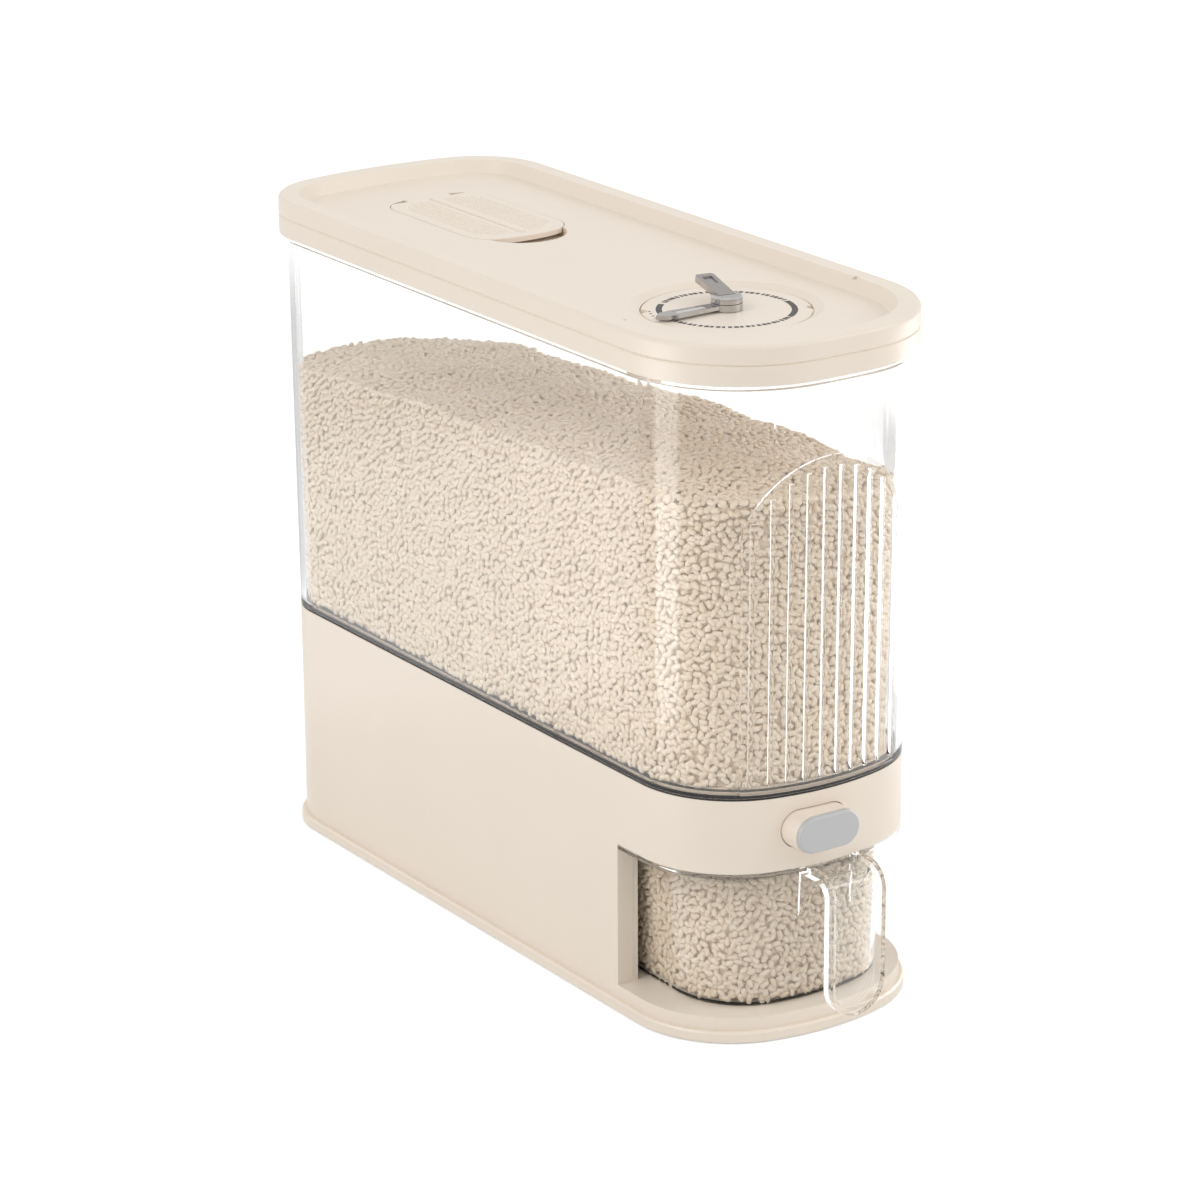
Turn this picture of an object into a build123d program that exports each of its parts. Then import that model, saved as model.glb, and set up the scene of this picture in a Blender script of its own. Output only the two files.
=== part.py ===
from build123d import *

import os
from dataclasses import dataclass
from math import atan2, cos, radians, sin, sqrt

# Free-standing grain dispenser: a clear hopper on a moulded base, a push-button slide valve under
# its funnel, a clear measuring cup that pulls out like a drawer, and a lift-off lid that carries a
# desiccant box under a hinged hatch and a date dial with two hands.
# Millimetres. +Z is up and -Y is the front, where the cup pulls out. The origin is the centre of
# the footprint on the surface that the feet stand on.

# ---------------------------------------------------------------- driving dimensions

FOOT_HEIGHT = 0.8            # how far the rubber feet stand below the plinth
FLANGE_TOP = 5.8             # top of the plinth's outer flange
PLATFORM_TOP = 12.4          # platform under the cup and the housing
BAND_BOTTOM = 85.6           # underside of the front band above the cup
BASE_TOP = 122.2             # top edge of the moulded base
GASKET = 1.2                 # thickness of the seal between base and hopper
HOPPER_FLANGE = 321.4        # underside of the hopper's top flange
HOPPER_TOP_EDGE = 331.5      # top edge of the hopper's mouth, inside the lid
LID_BOTTOM = 323.7
LID_SPLIT = 333.2            # parting line between the lid's ring and its top shell
TRAY_TOP = 336.4             # floor of the recessed tray in the lid
LID_TOP = 342.8              # rim of the lid

SPLIT_Y = -122.5             # rear housing behind this line, front band and cup before it
POST_WIDTH = 9.2             # width of the housing's front posts
BASE_WALL = 2.5
HOPPER_WALL = 2.6
FIT_GAP = 0.4                # gap round pieces that move past each other
RUNNING_FIT = 0.06           # radial clearance of a bore that turns on its pin

HANDLE_REACH = 215.5         # front of the cup's handle, from the body's centre
HANDLE_X = 2.5
HANDLE_WIDTH = 32.0
HANDLE_BOTTOM = 12.2

BUTTON_X = -9.0
BUTTON_Z = 105.4
BUTTON_LENGTH = 35.9
BUTTON_HEIGHT = 18.6
BUTTON_FRONT = -205.2        # front of the button's shell, where its face insert starts
BUTTON_REAR = -188.7
STROKE = 10.5                # travel of the button and the valve plate

OUTLET_Y = -143.0            # centre line of the valve's slot
SLOT_LENGTH = 50.0
SLOT_WIDTH = 9.0
VALVE_FLOOR = 87.8           # upper face of the band's floor, which the valve stands on
VALVE_TOP = 92.8             # underside of the funnel's throat
SHUTTER_BOTTOM = 88.2
SHUTTER_THICKNESS = 2.0
SHUTTER_FRONT = -163.0
SHUTTER_REAR = -112.0
SPRING_END = -92.0           # rear stop of the return springs
SPRING_X = 20.0
SPRING_Z = 91.3

PANEL_X = -3.0               # ribbed grip panel on the hopper's front
PANEL_HALF_WIDTH = 43.5
PANEL_SHOULDER = 254.0
PANEL_TOP = 286.0
PANEL_PROUD = 1.2
RIB_COUNT = 10
RIB_PITCH = 8.8
RIB_RADIUS = 1.3
RIB_BOTTOM = 129.5

DIAL_Y = -112.0
WELL_RADIUS = 45.4
DISC_RADIUS = 40.3
DISC_TOP = 334.6
WELL_FLOOR = 332.6
HUB_RADIUS = 7.5
SPINDLE_RADIUS = 2.4
LOWER_HAND_ANGLE = 180.0
UPPER_HAND_ANGLE = 80.0

HATCH_Y = 102.6
HATCH_TOP = 336.7
HATCH_SEAT = 333.6           # floor of the recess that the hatch closes
HATCH_BOTTOM = 333.9
HINGE_Y = 149.0
HINGE_Z = 335.3
HINGE_HALF_LENGTH = 13.0     # half the width of the cover where it goes over the hinge pin
TROUGH_FLOOR = 331.5         # trough that the cover's rear edge turns down into
PIN_RADIUS = 0.7
PIN_HALF_LENGTH = 23.0
BOX_SEAT = 331.8             # ledge that carries the desiccant box
BOX_BOTTOM = 314.0

SCREW_SPOTS = [(x, y) for x in (-66.0, 66.0) for y in (-112.0, 20.0, 150.0)]
FOOT_SPOTS = [(x, y) for x in (-50.0, 50.0) for y in (-150.0, 160.0)]
GATE_SCREW_SPOTS = [(x, y) for x in (-42.0, 42.0) for y in (-152.0, -132.0)]
BAND_SCREW_X = 64.5
BAND_SCREW_Z = 103.0


@dataclass(frozen=True)
class Outline:
    """Plan shape with straight sides, where each end is a shallow bow between two corner arcs.

    The front and rear reaches are measured from the centre, towards -Y and +Y.
    """

    half_width: float
    front: float
    rear: float
    front_corner: float
    front_bow: float
    rear_corner: float
    rear_bow: float

    def grown(self, step):
        """The same shape moved outwards by step all round, or inwards where step is negative."""
        return Outline(
            self.half_width + step,
            self.front + step,
            self.rear + step,
            self.front_corner + step,
            self.front_bow + step,
            self.rear_corner + step,
            self.rear_bow + step,
        )

    def end_arc(self, reach, corner, bow):
        """Corner arc of one end: where it leaves the side, its middle, and where the bow starts."""
        centre_x = self.half_width - corner
        rise = sqrt((bow - corner) ** 2 - centre_x**2)
        centre_y = reach - bow + rise
        turn = atan2(rise, centre_x)
        angles = (0, turn / 2, turn)
        return [(centre_x + corner * cos(a), centre_y + corner * sin(a)) for a in angles]

    def front_y(self, x):
        """Y of the front face at a distance x from the centre line."""
        start = self.end_arc(self.front, self.front_corner, self.front_bow)
        if abs(x) <= start[2][0]:
            return -(self.front - self.front_bow + sqrt(self.front_bow**2 - x**2))
        across = abs(x) - (self.half_width - self.front_corner)
        return -(start[0][1] + sqrt(self.front_corner**2 - across**2))

    def sketch(self):
        """The outline as a filled face, centred on the body's centre."""
        side, corner, bow = self.end_arc(self.rear, self.rear_corner, self.rear_bow)
        front_side, front_corner, front_bow = [
            (x, -y) for x, y in self.end_arc(self.front, self.front_corner, self.front_bow)
        ]

        def left(point):
            return (-point[0], point[1])

        with BuildSketch() as face:
            with BuildLine():
                Line(front_side, side)
                ThreePointArc(side, corner, bow)
                ThreePointArc(bow, (0, self.rear), left(bow))
                ThreePointArc(left(bow), left(corner), left(side))
                Line(left(side), left(front_side))
                ThreePointArc(left(front_side), left(front_corner), left(front_bow))
                ThreePointArc(left(front_bow), (0, -self.front), front_bow)
                ThreePointArc(front_bow, front_corner, front_side)
            make_face()
        return face.sketch


BODY = Outline(70.6, 196.8, 196.8, 52.0, 124.0, 36.0, 387.0)
LID = Outline(76.5, 202.7, 202.7, 63.5, 600.0, 41.0, 250.0)
HOPPER_MOUTH = BODY.grown(1.5)
FLANGE = BODY.grown(2.6)
FUNNEL_MOUTH = Outline(62.0, 175.0, 188.0, 40.0, 110.0, 30.0, 380.0)
FUNNEL_THROAT = Outline(26.0, 152.0, -134.0, 4.0, 300.0, 4.0, 300.0)
CUP_BOTTOM = Outline(54.0, 187.5, -64.0, 38.0, 125.0, 14.0, 300.0)
CUP_TOP = Outline(56.0, 191.0, -62.0, 40.0, 127.0, 14.0, 300.0)
HATCH = Outline(28.3, 49.5, 49.5, 16.0, 70.0, 16.0, 70.0)

HOPPER_BOTTOM = BASE_TOP + GASKET
CUP_FLOOR = PLATFORM_TOP + 0.6
CUP_RIM = BAND_BOTTOM - 0.8
BODY_Y = (HANDLE_REACH - LID.rear) / 2   # the handle reaches out in front, so the body sits back


def level(z, y=0.0):
    """Horizontal plane at height z, centred on the body, or y behind its centre."""
    return Plane((0, BODY_Y + y, z))


def facing_front(y, x=0.0, z=0.0):
    """Upright plane across the body that looks towards the front, with its local Y upwards."""
    return Plane(origin=(x, BODY_Y + y, z), x_dir=(1, 0, 0), z_dir=(0, -1, 0))


def facing_side(x):
    """Upright plane along the body that looks towards +X, with its local X along +Y."""
    return Plane(origin=(x, BODY_Y, 0), x_dir=(0, 1, 0), z_dir=(1, 0, 0))


def save(part, name):
    """Label a finished piece and write it to its own file."""
    part.label = name
    export_step(part, f"parts/{name}.step")


os.makedirs("parts", exist_ok=True)


# ---------------------------------------------------------------- base

PLATE_BOTTOM = PLATFORM_TOP - 2.6
SCREW_SEAT = 7.4
SCREW_RADIUS = 1.5
SCREW_HEAD = 2.9
SCREW_BOSS = 4.2
FOOT_RADIUS = 8.0
FOOT_RECESS = 1.6

with BuildPart() as plinth:
    with BuildSketch(level(FOOT_HEIGHT)):
        add(FLANGE.sketch())
    extrude(amount=FLANGE_TOP - FOOT_HEIGHT)
    chamfer(plinth.edges().group_by(Axis.Z)[-1], 0.8)
    with BuildSketch(level(FOOT_HEIGHT)):
        add(BODY.sketch())
    extrude(amount=PLATFORM_TOP - FOOT_HEIGHT)
    # hollow underside
    with BuildSketch(level(FOOT_HEIGHT)):
        add(BODY.grown(-3.0).sketch())
    extrude(amount=PLATE_BOTTOM - FOOT_HEIGHT, mode=Mode.SUBTRACT)
    # bosses for the feet and the screws
    with BuildSketch(level(FOOT_HEIGHT)):
        with Locations(*FOOT_SPOTS):
            Circle(FOOT_RADIUS + 1.5)
        with Locations(*SCREW_SPOTS):
            Circle(SCREW_BOSS)
    extrude(amount=PLATE_BOTTOM - FOOT_HEIGHT + 0.5)
    with BuildSketch(level(FOOT_HEIGHT)):
        with Locations(*FOOT_SPOTS):
            Circle(FOOT_RADIUS)
    extrude(amount=FOOT_RECESS, mode=Mode.SUBTRACT)
    with BuildSketch(level(FOOT_HEIGHT)):
        with Locations(*SCREW_SPOTS):
            Circle(SCREW_HEAD + 0.3)
    extrude(amount=SCREW_SEAT - FOOT_HEIGHT, mode=Mode.SUBTRACT)
    with BuildSketch(level(SCREW_SEAT)):
        with Locations(*SCREW_SPOTS):
            Circle(SCREW_RADIUS + 0.2)
    extrude(amount=PLATFORM_TOP - SCREW_SEAT, mode=Mode.SUBTRACT)
save(plinth.part, "plinth")

with BuildPart() as feet:
    with BuildSketch(level(0)):
        with Locations(*FOOT_SPOTS):
            Circle(FOOT_RADIUS)
    extrude(amount=FOOT_HEIGHT + FOOT_RECESS)
    chamfer(feet.edges().group_by(Axis.Z)[0], 0.4)
save(feet.part, "rubber_feet")

with BuildPart() as plinth_screws:
    with BuildSketch(level(SCREW_SEAT - 2.2)):
        with Locations(*SCREW_SPOTS):
            Circle(SCREW_HEAD)
            Rectangle(3.6, 0.8, mode=Mode.SUBTRACT)
            Rectangle(0.8, 3.6, mode=Mode.SUBTRACT)
    extrude(amount=1.2)
    with BuildSketch(level(SCREW_SEAT - 1.0)):
        with Locations(*SCREW_SPOTS):
            Circle(SCREW_HEAD)
    extrude(amount=1.0)
    with BuildSketch(level(SCREW_SEAT)):
        with Locations(*SCREW_SPOTS):
            Circle(SCREW_RADIUS)
    extrude(amount=16.0)
save(plinth_screws.part, "plinth_screws")

LEDGE_TOP = BASE_TOP - 2.4    # ledge inside the base wall that carries the funnel's rim
LEDGE_BOTTOM = LEDGE_TOP - 2.2
LEDGE_WIDTH = 3.0
BOSS_HEIGHT = 18.0
SPLIT_PLANE = Plane(origin=(0, BODY_Y + SPLIT_Y, 0), z_dir=(0, 1, 0))

with BuildPart() as rear_housing:
    with BuildSketch(level(PLATFORM_TOP)):
        add(BODY.sketch())
        add(BODY.grown(-BASE_WALL).sketch(), mode=Mode.SUBTRACT)
    extrude(amount=BASE_TOP - PLATFORM_TOP)
    with BuildSketch(level(LEDGE_BOTTOM)):
        add(BODY.grown(-1.0).sketch())
        add(BODY.grown(-BASE_WALL - LEDGE_WIDTH).sketch(), mode=Mode.SUBTRACT)
    extrude(amount=LEDGE_TOP - LEDGE_BOTTOM)
    split(bisect_by=SPLIT_PLANE, keep=Keep.TOP)
    # front posts: returns of the side walls beside the cup's bay
    with BuildSketch(level(PLATFORM_TOP, SPLIT_Y + 1.5)):
        with Locations((BODY.half_width - POST_WIDTH / 2, 0), (POST_WIDTH / 2 - BODY.half_width, 0)):
            Rectangle(POST_WIDTH, 3.0)
    extrude(amount=LEDGE_BOTTOM - PLATFORM_TOP)
    # screw bosses on the side walls
    with BuildSketch(level(PLATFORM_TOP)):
        with Locations(*SCREW_SPOTS):
            Circle(SCREW_BOSS)
    extrude(amount=BOSS_HEIGHT)
    with BuildSketch(level(PLATFORM_TOP)):
        with Locations(*SCREW_SPOTS):
            Circle(SCREW_RADIUS)
    extrude(amount=BOSS_HEIGHT - 3.0, mode=Mode.SUBTRACT)
    # holes for the screws that hold the front band
    with BuildSketch(facing_front(SPLIT_Y + 4.0, z=BAND_SCREW_Z)):
        with Locations((BAND_SCREW_X, 0), (-BAND_SCREW_X, 0)):
            Circle(1.5)
    extrude(amount=6.0, mode=Mode.SUBTRACT)
save(rear_housing.part, "rear_housing")

BAY_OUTER = BODY.half_width - POST_WIDTH - 0.1
BAY_WALL = 2.4
BAY_REAR = -48.0
BAY_LENGTH = BAY_REAR - SPLIT_Y
BAY_MIDDLE = (BAY_REAR + SPLIT_Y) / 2

with BuildPart() as drawer_bay:
    with BuildSketch(level(PLATFORM_TOP, BAY_MIDDLE)):
        Rectangle(2 * BAY_OUTER, BAY_LENGTH)
    extrude(amount=VALVE_FLOOR - PLATFORM_TOP)
    with BuildSketch(level(PLATFORM_TOP, BAY_MIDDLE - BAY_WALL)):
        Rectangle(2 * (BAY_OUTER - BAY_WALL), BAY_LENGTH)
    extrude(amount=BAND_BOTTOM - PLATFORM_TOP, mode=Mode.SUBTRACT)
save(drawer_bay.part, "drawer_bay")

BUTTON_HOLE_LENGTH = BUTTON_LENGTH + 2 * FIT_GAP
BUTTON_HOLE_HEIGHT = BUTTON_HEIGHT + 2 * FIT_GAP

with BuildPart() as front_band:
    with BuildSketch(level(BAND_BOTTOM)):
        add(BODY.sketch())
    extrude(amount=BASE_TOP - BAND_BOTTOM)
    with BuildSketch(level(VALVE_FLOOR)):
        add(BODY.grown(-BASE_WALL - LEDGE_WIDTH).sketch())
    extrude(amount=BASE_TOP - VALVE_FLOOR, mode=Mode.SUBTRACT)
    with BuildSketch(level(VALVE_FLOOR)):
        add(BODY.grown(-BASE_WALL).sketch())
    extrude(amount=LEDGE_BOTTOM - VALVE_FLOOR, mode=Mode.SUBTRACT)
    with BuildSketch(level(LEDGE_TOP)):
        add(BODY.grown(-BASE_WALL).sketch())
    extrude(amount=BASE_TOP - LEDGE_TOP, mode=Mode.SUBTRACT)
    # window that the grain falls through
    with BuildSketch(level(BAND_BOTTOM, OUTLET_Y)):
        Rectangle(SLOT_LENGTH + 4, SLOT_WIDTH + 5)
    extrude(amount=VALVE_FLOOR - BAND_BOTTOM, mode=Mode.SUBTRACT)
    split(bisect_by=SPLIT_PLANE, keep=Keep.BOTTOM)
    # hole for the button
    with BuildSketch(facing_front(-180.0, BUTTON_X, BUTTON_Z)):
        SlotOverall(BUTTON_HOLE_LENGTH, BUTTON_HOLE_HEIGHT)
    extrude(amount=30.0, mode=Mode.SUBTRACT)
    # bosses for the screws from the housing's posts
    with BuildSketch(facing_front(SPLIT_Y, z=BAND_SCREW_Z)):
        with Locations((BAND_SCREW_X, 0), (-BAND_SCREW_X, 0)):
            Circle(4.2)
    extrude(amount=12.0)
    with BuildSketch(facing_front(SPLIT_Y, z=BAND_SCREW_Z)):
        with Locations((BAND_SCREW_X, 0), (-BAND_SCREW_X, 0)):
            Circle(1.3)
    extrude(amount=10.0, mode=Mode.SUBTRACT)
save(front_band.part, "front_band")

with BuildPart() as band_screws:
    with BuildSketch(facing_front(SPLIT_Y + 5.0, z=BAND_SCREW_Z)):
        with Locations((BAND_SCREW_X, 0), (-BAND_SCREW_X, 0)):
            Circle(2.8)
    extrude(amount=2.0)
    with BuildSketch(facing_front(SPLIT_Y + 3.0, z=BAND_SCREW_Z)):
        with Locations((BAND_SCREW_X, 0), (-BAND_SCREW_X, 0)):
            Circle(1.3)
    extrude(amount=12.0)
save(band_screws.part, "band_screws")


# ---------------------------------------------------------------- funnel and valve

GATE_BOSS_RADIUS = 3.4
GATE_SCREW_RADIUS = 1.1

with BuildPart() as funnel:
    with BuildSketch(level(LEDGE_TOP)):
        add(BODY.grown(-BASE_WALL - 0.2).sketch())
    extrude(amount=BASE_TOP - LEDGE_TOP)
    with BuildSketch(level(VALVE_TOP + 2.0)):
        add(FUNNEL_THROAT.grown(1.8).sketch())
    with BuildSketch(level(LEDGE_TOP)):
        add(FUNNEL_MOUTH.sketch())
    loft(ruled=True)
    with BuildSketch(level(VALVE_TOP)):
        add(FUNNEL_THROAT.grown(1.8).sketch())
        with Locations(*GATE_SCREW_SPOTS):
            Circle(GATE_BOSS_RADIUS)
    extrude(amount=13.0)
    # open inside: sloping floor and throat
    with BuildSketch(level(VALVE_TOP + 4.2)):
        add(FUNNEL_THROAT.sketch())
    with BuildSketch(level(BASE_TOP)):
        add(FUNNEL_MOUTH.grown(-0.6).sketch())
    loft(ruled=True, mode=Mode.SUBTRACT)
    with BuildSketch(level(VALVE_TOP)):
        add(FUNNEL_THROAT.sketch())
    extrude(amount=4.3, mode=Mode.SUBTRACT)
    with BuildSketch(level(VALVE_TOP)):
        with Locations(*GATE_SCREW_SPOTS):
            Circle(GATE_SCREW_RADIUS)
    extrude(amount=7.0, mode=Mode.SUBTRACT)
save(funnel.part, "funnel")

GATE_PLATE_BOTTOM = 90.6
RAIL_INNER = 31.6
RAIL_OUTER = 36.0
RAIL_FRONT = -160.0
GATE_REAR = SPRING_END + 2.0

with BuildPart() as gate_frame:
    # guide plate under the throat, with ears for its screws
    with BuildSketch(level(GATE_PLATE_BOTTOM, OUTLET_Y)):
        Rectangle(2 * RAIL_OUTER, 30.0)
    extrude(amount=VALVE_TOP - GATE_PLATE_BOTTOM)
    with BuildSketch(level(GATE_PLATE_BOTTOM)):
        for x, y in GATE_SCREW_SPOTS:
            with Locations((x * 0.92, y)):
                Rectangle(14.0, 7.0)
            with Locations((x, y)):
                Circle(3.5)
    extrude(amount=VALVE_TOP - GATE_PLATE_BOTTOM)
    # side rails and the rear stop of the springs
    with BuildSketch(level(VALVE_FLOOR)):
        for side in (-1, 1):
            with Locations((side * (RAIL_INNER + RAIL_OUTER) / 2, (RAIL_FRONT + GATE_REAR) / 2)):
                Rectangle(RAIL_OUTER - RAIL_INNER, GATE_REAR - RAIL_FRONT)
    extrude(amount=GATE_PLATE_BOTTOM - VALVE_FLOOR)
    with BuildSketch(level(VALVE_FLOOR)):
        with Locations((0, SPRING_END + 1.0)):
            Rectangle(2 * RAIL_OUTER, 2.0)
    extrude(amount=7.2)
    with BuildSketch(level(GATE_PLATE_BOTTOM, OUTLET_Y)):
        Rectangle(SLOT_LENGTH, SLOT_WIDTH)
    extrude(amount=VALVE_TOP - GATE_PLATE_BOTTOM, mode=Mode.SUBTRACT)
    with BuildSketch(level(GATE_PLATE_BOTTOM)):
        with Locations(*GATE_SCREW_SPOTS):
            Circle(GATE_SCREW_RADIUS + 0.2)
    extrude(amount=VALVE_TOP - GATE_PLATE_BOTTOM, mode=Mode.SUBTRACT)
    # pegs that hold the springs
    with BuildSketch(facing_front(SPRING_END, z=SPRING_Z)):
        with Locations((SPRING_X, 0), (-SPRING_X, 0)):
            Circle(1.6)
    extrude(amount=3.5)
save(gate_frame.part, "gate_frame")

with BuildPart() as gate_screws:
    with BuildSketch(level(GATE_PLATE_BOTTOM - 1.6)):
        with Locations(*GATE_SCREW_SPOTS):
            Circle(2.3)
    extrude(amount=1.6)
    with BuildSketch(level(GATE_PLATE_BOTTOM)):
        with Locations(*GATE_SCREW_SPOTS):
            Circle(GATE_SCREW_RADIUS)
    extrude(amount=8.0)
save(gate_screws.part, "gate_screws")

SHUTTER_WIDTH = 2 * (RAIL_INNER - FIT_GAP)
SHUTTER_TOP = SHUTTER_BOTTOM + SHUTTER_THICKNESS

with BuildPart() as shutter:
    with BuildSketch(level(SHUTTER_BOTTOM, (SHUTTER_FRONT + SHUTTER_REAR) / 2)):
        Rectangle(SHUTTER_WIDTH, SHUTTER_REAR - SHUTTER_FRONT)
    extrude(amount=SHUTTER_THICKNESS)
    with BuildSketch(level(SHUTTER_BOTTOM, OUTLET_Y - STROKE)):
        Rectangle(SLOT_LENGTH, SLOT_WIDTH)
    extrude(amount=SHUTTER_THICKNESS, mode=Mode.SUBTRACT)
    # tabs and pegs that press on the return springs
    with BuildSketch(level(SHUTTER_BOTTOM)):
        with Locations((SPRING_X, SHUTTER_REAR - 1.0), (-SPRING_X, SHUTTER_REAR - 1.0)):
            Rectangle(10.0, 2.0)
    extrude(amount=6.3)
    with BuildSketch(facing_front(SHUTTER_REAR, z=SPRING_Z)):
        with Locations((SPRING_X, 0), (-SPRING_X, 0)):
            Circle(1.6)
    extrude(amount=-3.5)
save(shutter.part, "shutter")

SPRING_RADIUS = 2.5
WIRE_RADIUS = 0.4
SPRING_TURNS = 7

for side, name in ((-1, "return_spring_left"), (1, "return_spring_right")):
    free_length = SPRING_END - SHUTTER_REAR - 2 * WIRE_RADIUS
    with BuildPart() as spring:
        with BuildLine():
            coil = Helix(
                pitch=free_length / SPRING_TURNS,
                height=free_length,
                radius=SPRING_RADIUS,
                center=(side * SPRING_X, BODY_Y + SHUTTER_REAR + WIRE_RADIUS, SPRING_Z),
                direction=(0, 1, 0),
            )
        with BuildSketch(Plane(origin=coil @ 0, z_dir=coil % 0)):
            Circle(WIRE_RADIUS)
        sweep(is_frenet=True)
    save(spring.part, name)

LIP = 1.7                     # lip behind the band's wall that keeps the button in
LIP_THICKNESS = 2.0

with BuildPart() as button_shell:
    with BuildSketch(facing_front(BUTTON_REAR, BUTTON_X, BUTTON_Z)):
        SlotOverall(BUTTON_LENGTH + 2 * LIP, BUTTON_HEIGHT + 2 * LIP)
    extrude(amount=LIP_THICKNESS)
    with BuildSketch(facing_front(BUTTON_REAR, BUTTON_X, BUTTON_Z)):
        SlotOverall(BUTTON_LENGTH, BUTTON_HEIGHT)
    extrude(amount=BUTTON_REAR - BUTTON_FRONT)
    with BuildSketch(facing_front(BUTTON_FRONT, BUTTON_X, BUTTON_Z)):
        SlotOverall(BUTTON_LENGTH - 3.6, BUTTON_HEIGHT - 3.6)
    extrude(amount=BUTTON_FRONT - BUTTON_REAR + LIP_THICKNESS, mode=Mode.SUBTRACT)
save(button_shell.part, "button_shell")

with BuildPart() as button_face:
    with BuildSketch(facing_front(BUTTON_FRONT, BUTTON_X, BUTTON_Z)):
        SlotOverall(BUTTON_LENGTH - 0.8, BUTTON_HEIGHT - 0.8)
    extrude(amount=2.8)
    fillet(button_face.edges().group_by(Axis.Y)[0], 1.3)
    with BuildSketch(facing_front(BUTTON_FRONT, BUTTON_X, BUTTON_Z)):
        SlotOverall(BUTTON_LENGTH - 3.6, BUTTON_HEIGHT - 3.6)
    extrude(amount=-4.0)
save(button_face.part, "button_face")

LINK_WIDTH = 20.0

with BuildPart() as push_link:
    with BuildSketch(facing_side(BUTTON_X)):
        with BuildLine():
            Polyline(
                (BUTTON_REAR, 106.0),
                (BUTTON_REAR, SHUTTER_BOTTOM),
                (SHUTTER_FRONT, SHUTTER_BOTTOM),
                (SHUTTER_FRONT, SHUTTER_TOP),
                (BUTTON_REAR + 2.0, SHUTTER_TOP),
                (BUTTON_REAR + 2.0, 106.0),
                close=True,
            )
        make_face()
    extrude(amount=LINK_WIDTH / 2, both=True)
save(push_link.part, "push_link")


# ---------------------------------------------------------------- hopper

with BuildPart() as hopper_seal:
    with BuildSketch(level(BASE_TOP)):
        add(BODY.grown(-0.4).sketch())
        add(BODY.grown(-6.0).sketch(), mode=Mode.SUBTRACT)
    extrude(amount=GASKET)
save(hopper_seal.part, "hopper_seal")


def hopper_outline(z):
    """The hopper's outer shape at height z: it widens a little towards the mouth."""
    share = (z - HOPPER_BOTTOM) / (HOPPER_FLANGE - HOPPER_BOTTOM)
    return BODY.grown(share * (HOPPER_MOUTH.half_width - BODY.half_width))


def arch_height(x):
    """Top of the grip panel at a distance x from the panel's own centre line."""
    rise = PANEL_TOP - PANEL_SHOULDER
    radius = (PANEL_HALF_WIDTH**2 + rise**2) / (2 * rise)
    return PANEL_TOP - radius + sqrt(radius**2 - x**2)


# grip panel: a slightly raised arch on the front face
with BuildPart() as grip_panel:
    with BuildSketch(level(HOPPER_BOTTOM)):
        add(BODY.grown(PANEL_PROUD).sketch())
    with BuildSketch(level(HOPPER_FLANGE)):
        add(HOPPER_MOUTH.grown(PANEL_PROUD).sketch())
    loft(ruled=True)
    with BuildSketch(facing_front(-150.0, PANEL_X)):
        with BuildLine():
            foot = HOPPER_BOTTOM + 2.0
            Polyline(
                (-PANEL_HALF_WIDTH, PANEL_SHOULDER),
                (-PANEL_HALF_WIDTH, foot),
                (PANEL_HALF_WIDTH, foot),
                (PANEL_HALF_WIDTH, PANEL_SHOULDER),
            )
            ThreePointArc(
                (PANEL_HALF_WIDTH, PANEL_SHOULDER), (0, PANEL_TOP), (-PANEL_HALF_WIDTH, PANEL_SHOULDER)
            )
        make_face()
    extrude(amount=60.0, mode=Mode.INTERSECT)

with BuildPart() as hopper:
    with BuildSketch(level(HOPPER_BOTTOM)):
        add(BODY.sketch())
    with BuildSketch(level(HOPPER_FLANGE)):
        add(HOPPER_MOUTH.sketch())
    loft(ruled=True)
    with BuildSketch(level(HOPPER_FLANGE)):
        add(HOPPER_MOUTH.sketch())
    extrude(amount=HOPPER_TOP_EDGE - HOPPER_FLANGE)
    with BuildSketch(level(HOPPER_FLANGE)):
        add(LID.grown(-0.8).sketch())
    extrude(amount=LID_BOTTOM - 0.3 - HOPPER_FLANGE)
    add(grip_panel.part)
    for index in range(RIB_COUNT):
        rib_x = (index - (RIB_COUNT - 1) / 2) * RIB_PITCH
        rib_top = arch_height(rib_x) - 5.0
        for z in (RIB_BOTTOM, rib_top):
            face_y = hopper_outline(z).grown(PANEL_PROUD).front_y(PANEL_X + rib_x)
            with BuildSketch(level(z)):
                with Locations((PANEL_X + rib_x, face_y)):
                    Circle(RIB_RADIUS)
        loft()
    # open inside, with an inner foot that stands on the seal
    with BuildSketch(level(HOPPER_BOTTOM)):
        add(BODY.grown(-5.6).sketch())
    extrude(amount=3.0, mode=Mode.SUBTRACT)
    with BuildSketch(level(HOPPER_BOTTOM + 3.0)):
        add(BODY.grown(-HOPPER_WALL).sketch())
    with BuildSketch(level(HOPPER_TOP_EDGE)):
        add(HOPPER_MOUTH.grown(-HOPPER_WALL).sketch())
    loft(ruled=True, mode=Mode.SUBTRACT)
save(hopper.part, "hopper")


# ---------------------------------------------------------------- measuring cup

CUP_WALL = 2.0
RIM_THICKNESS = 1.6


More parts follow.
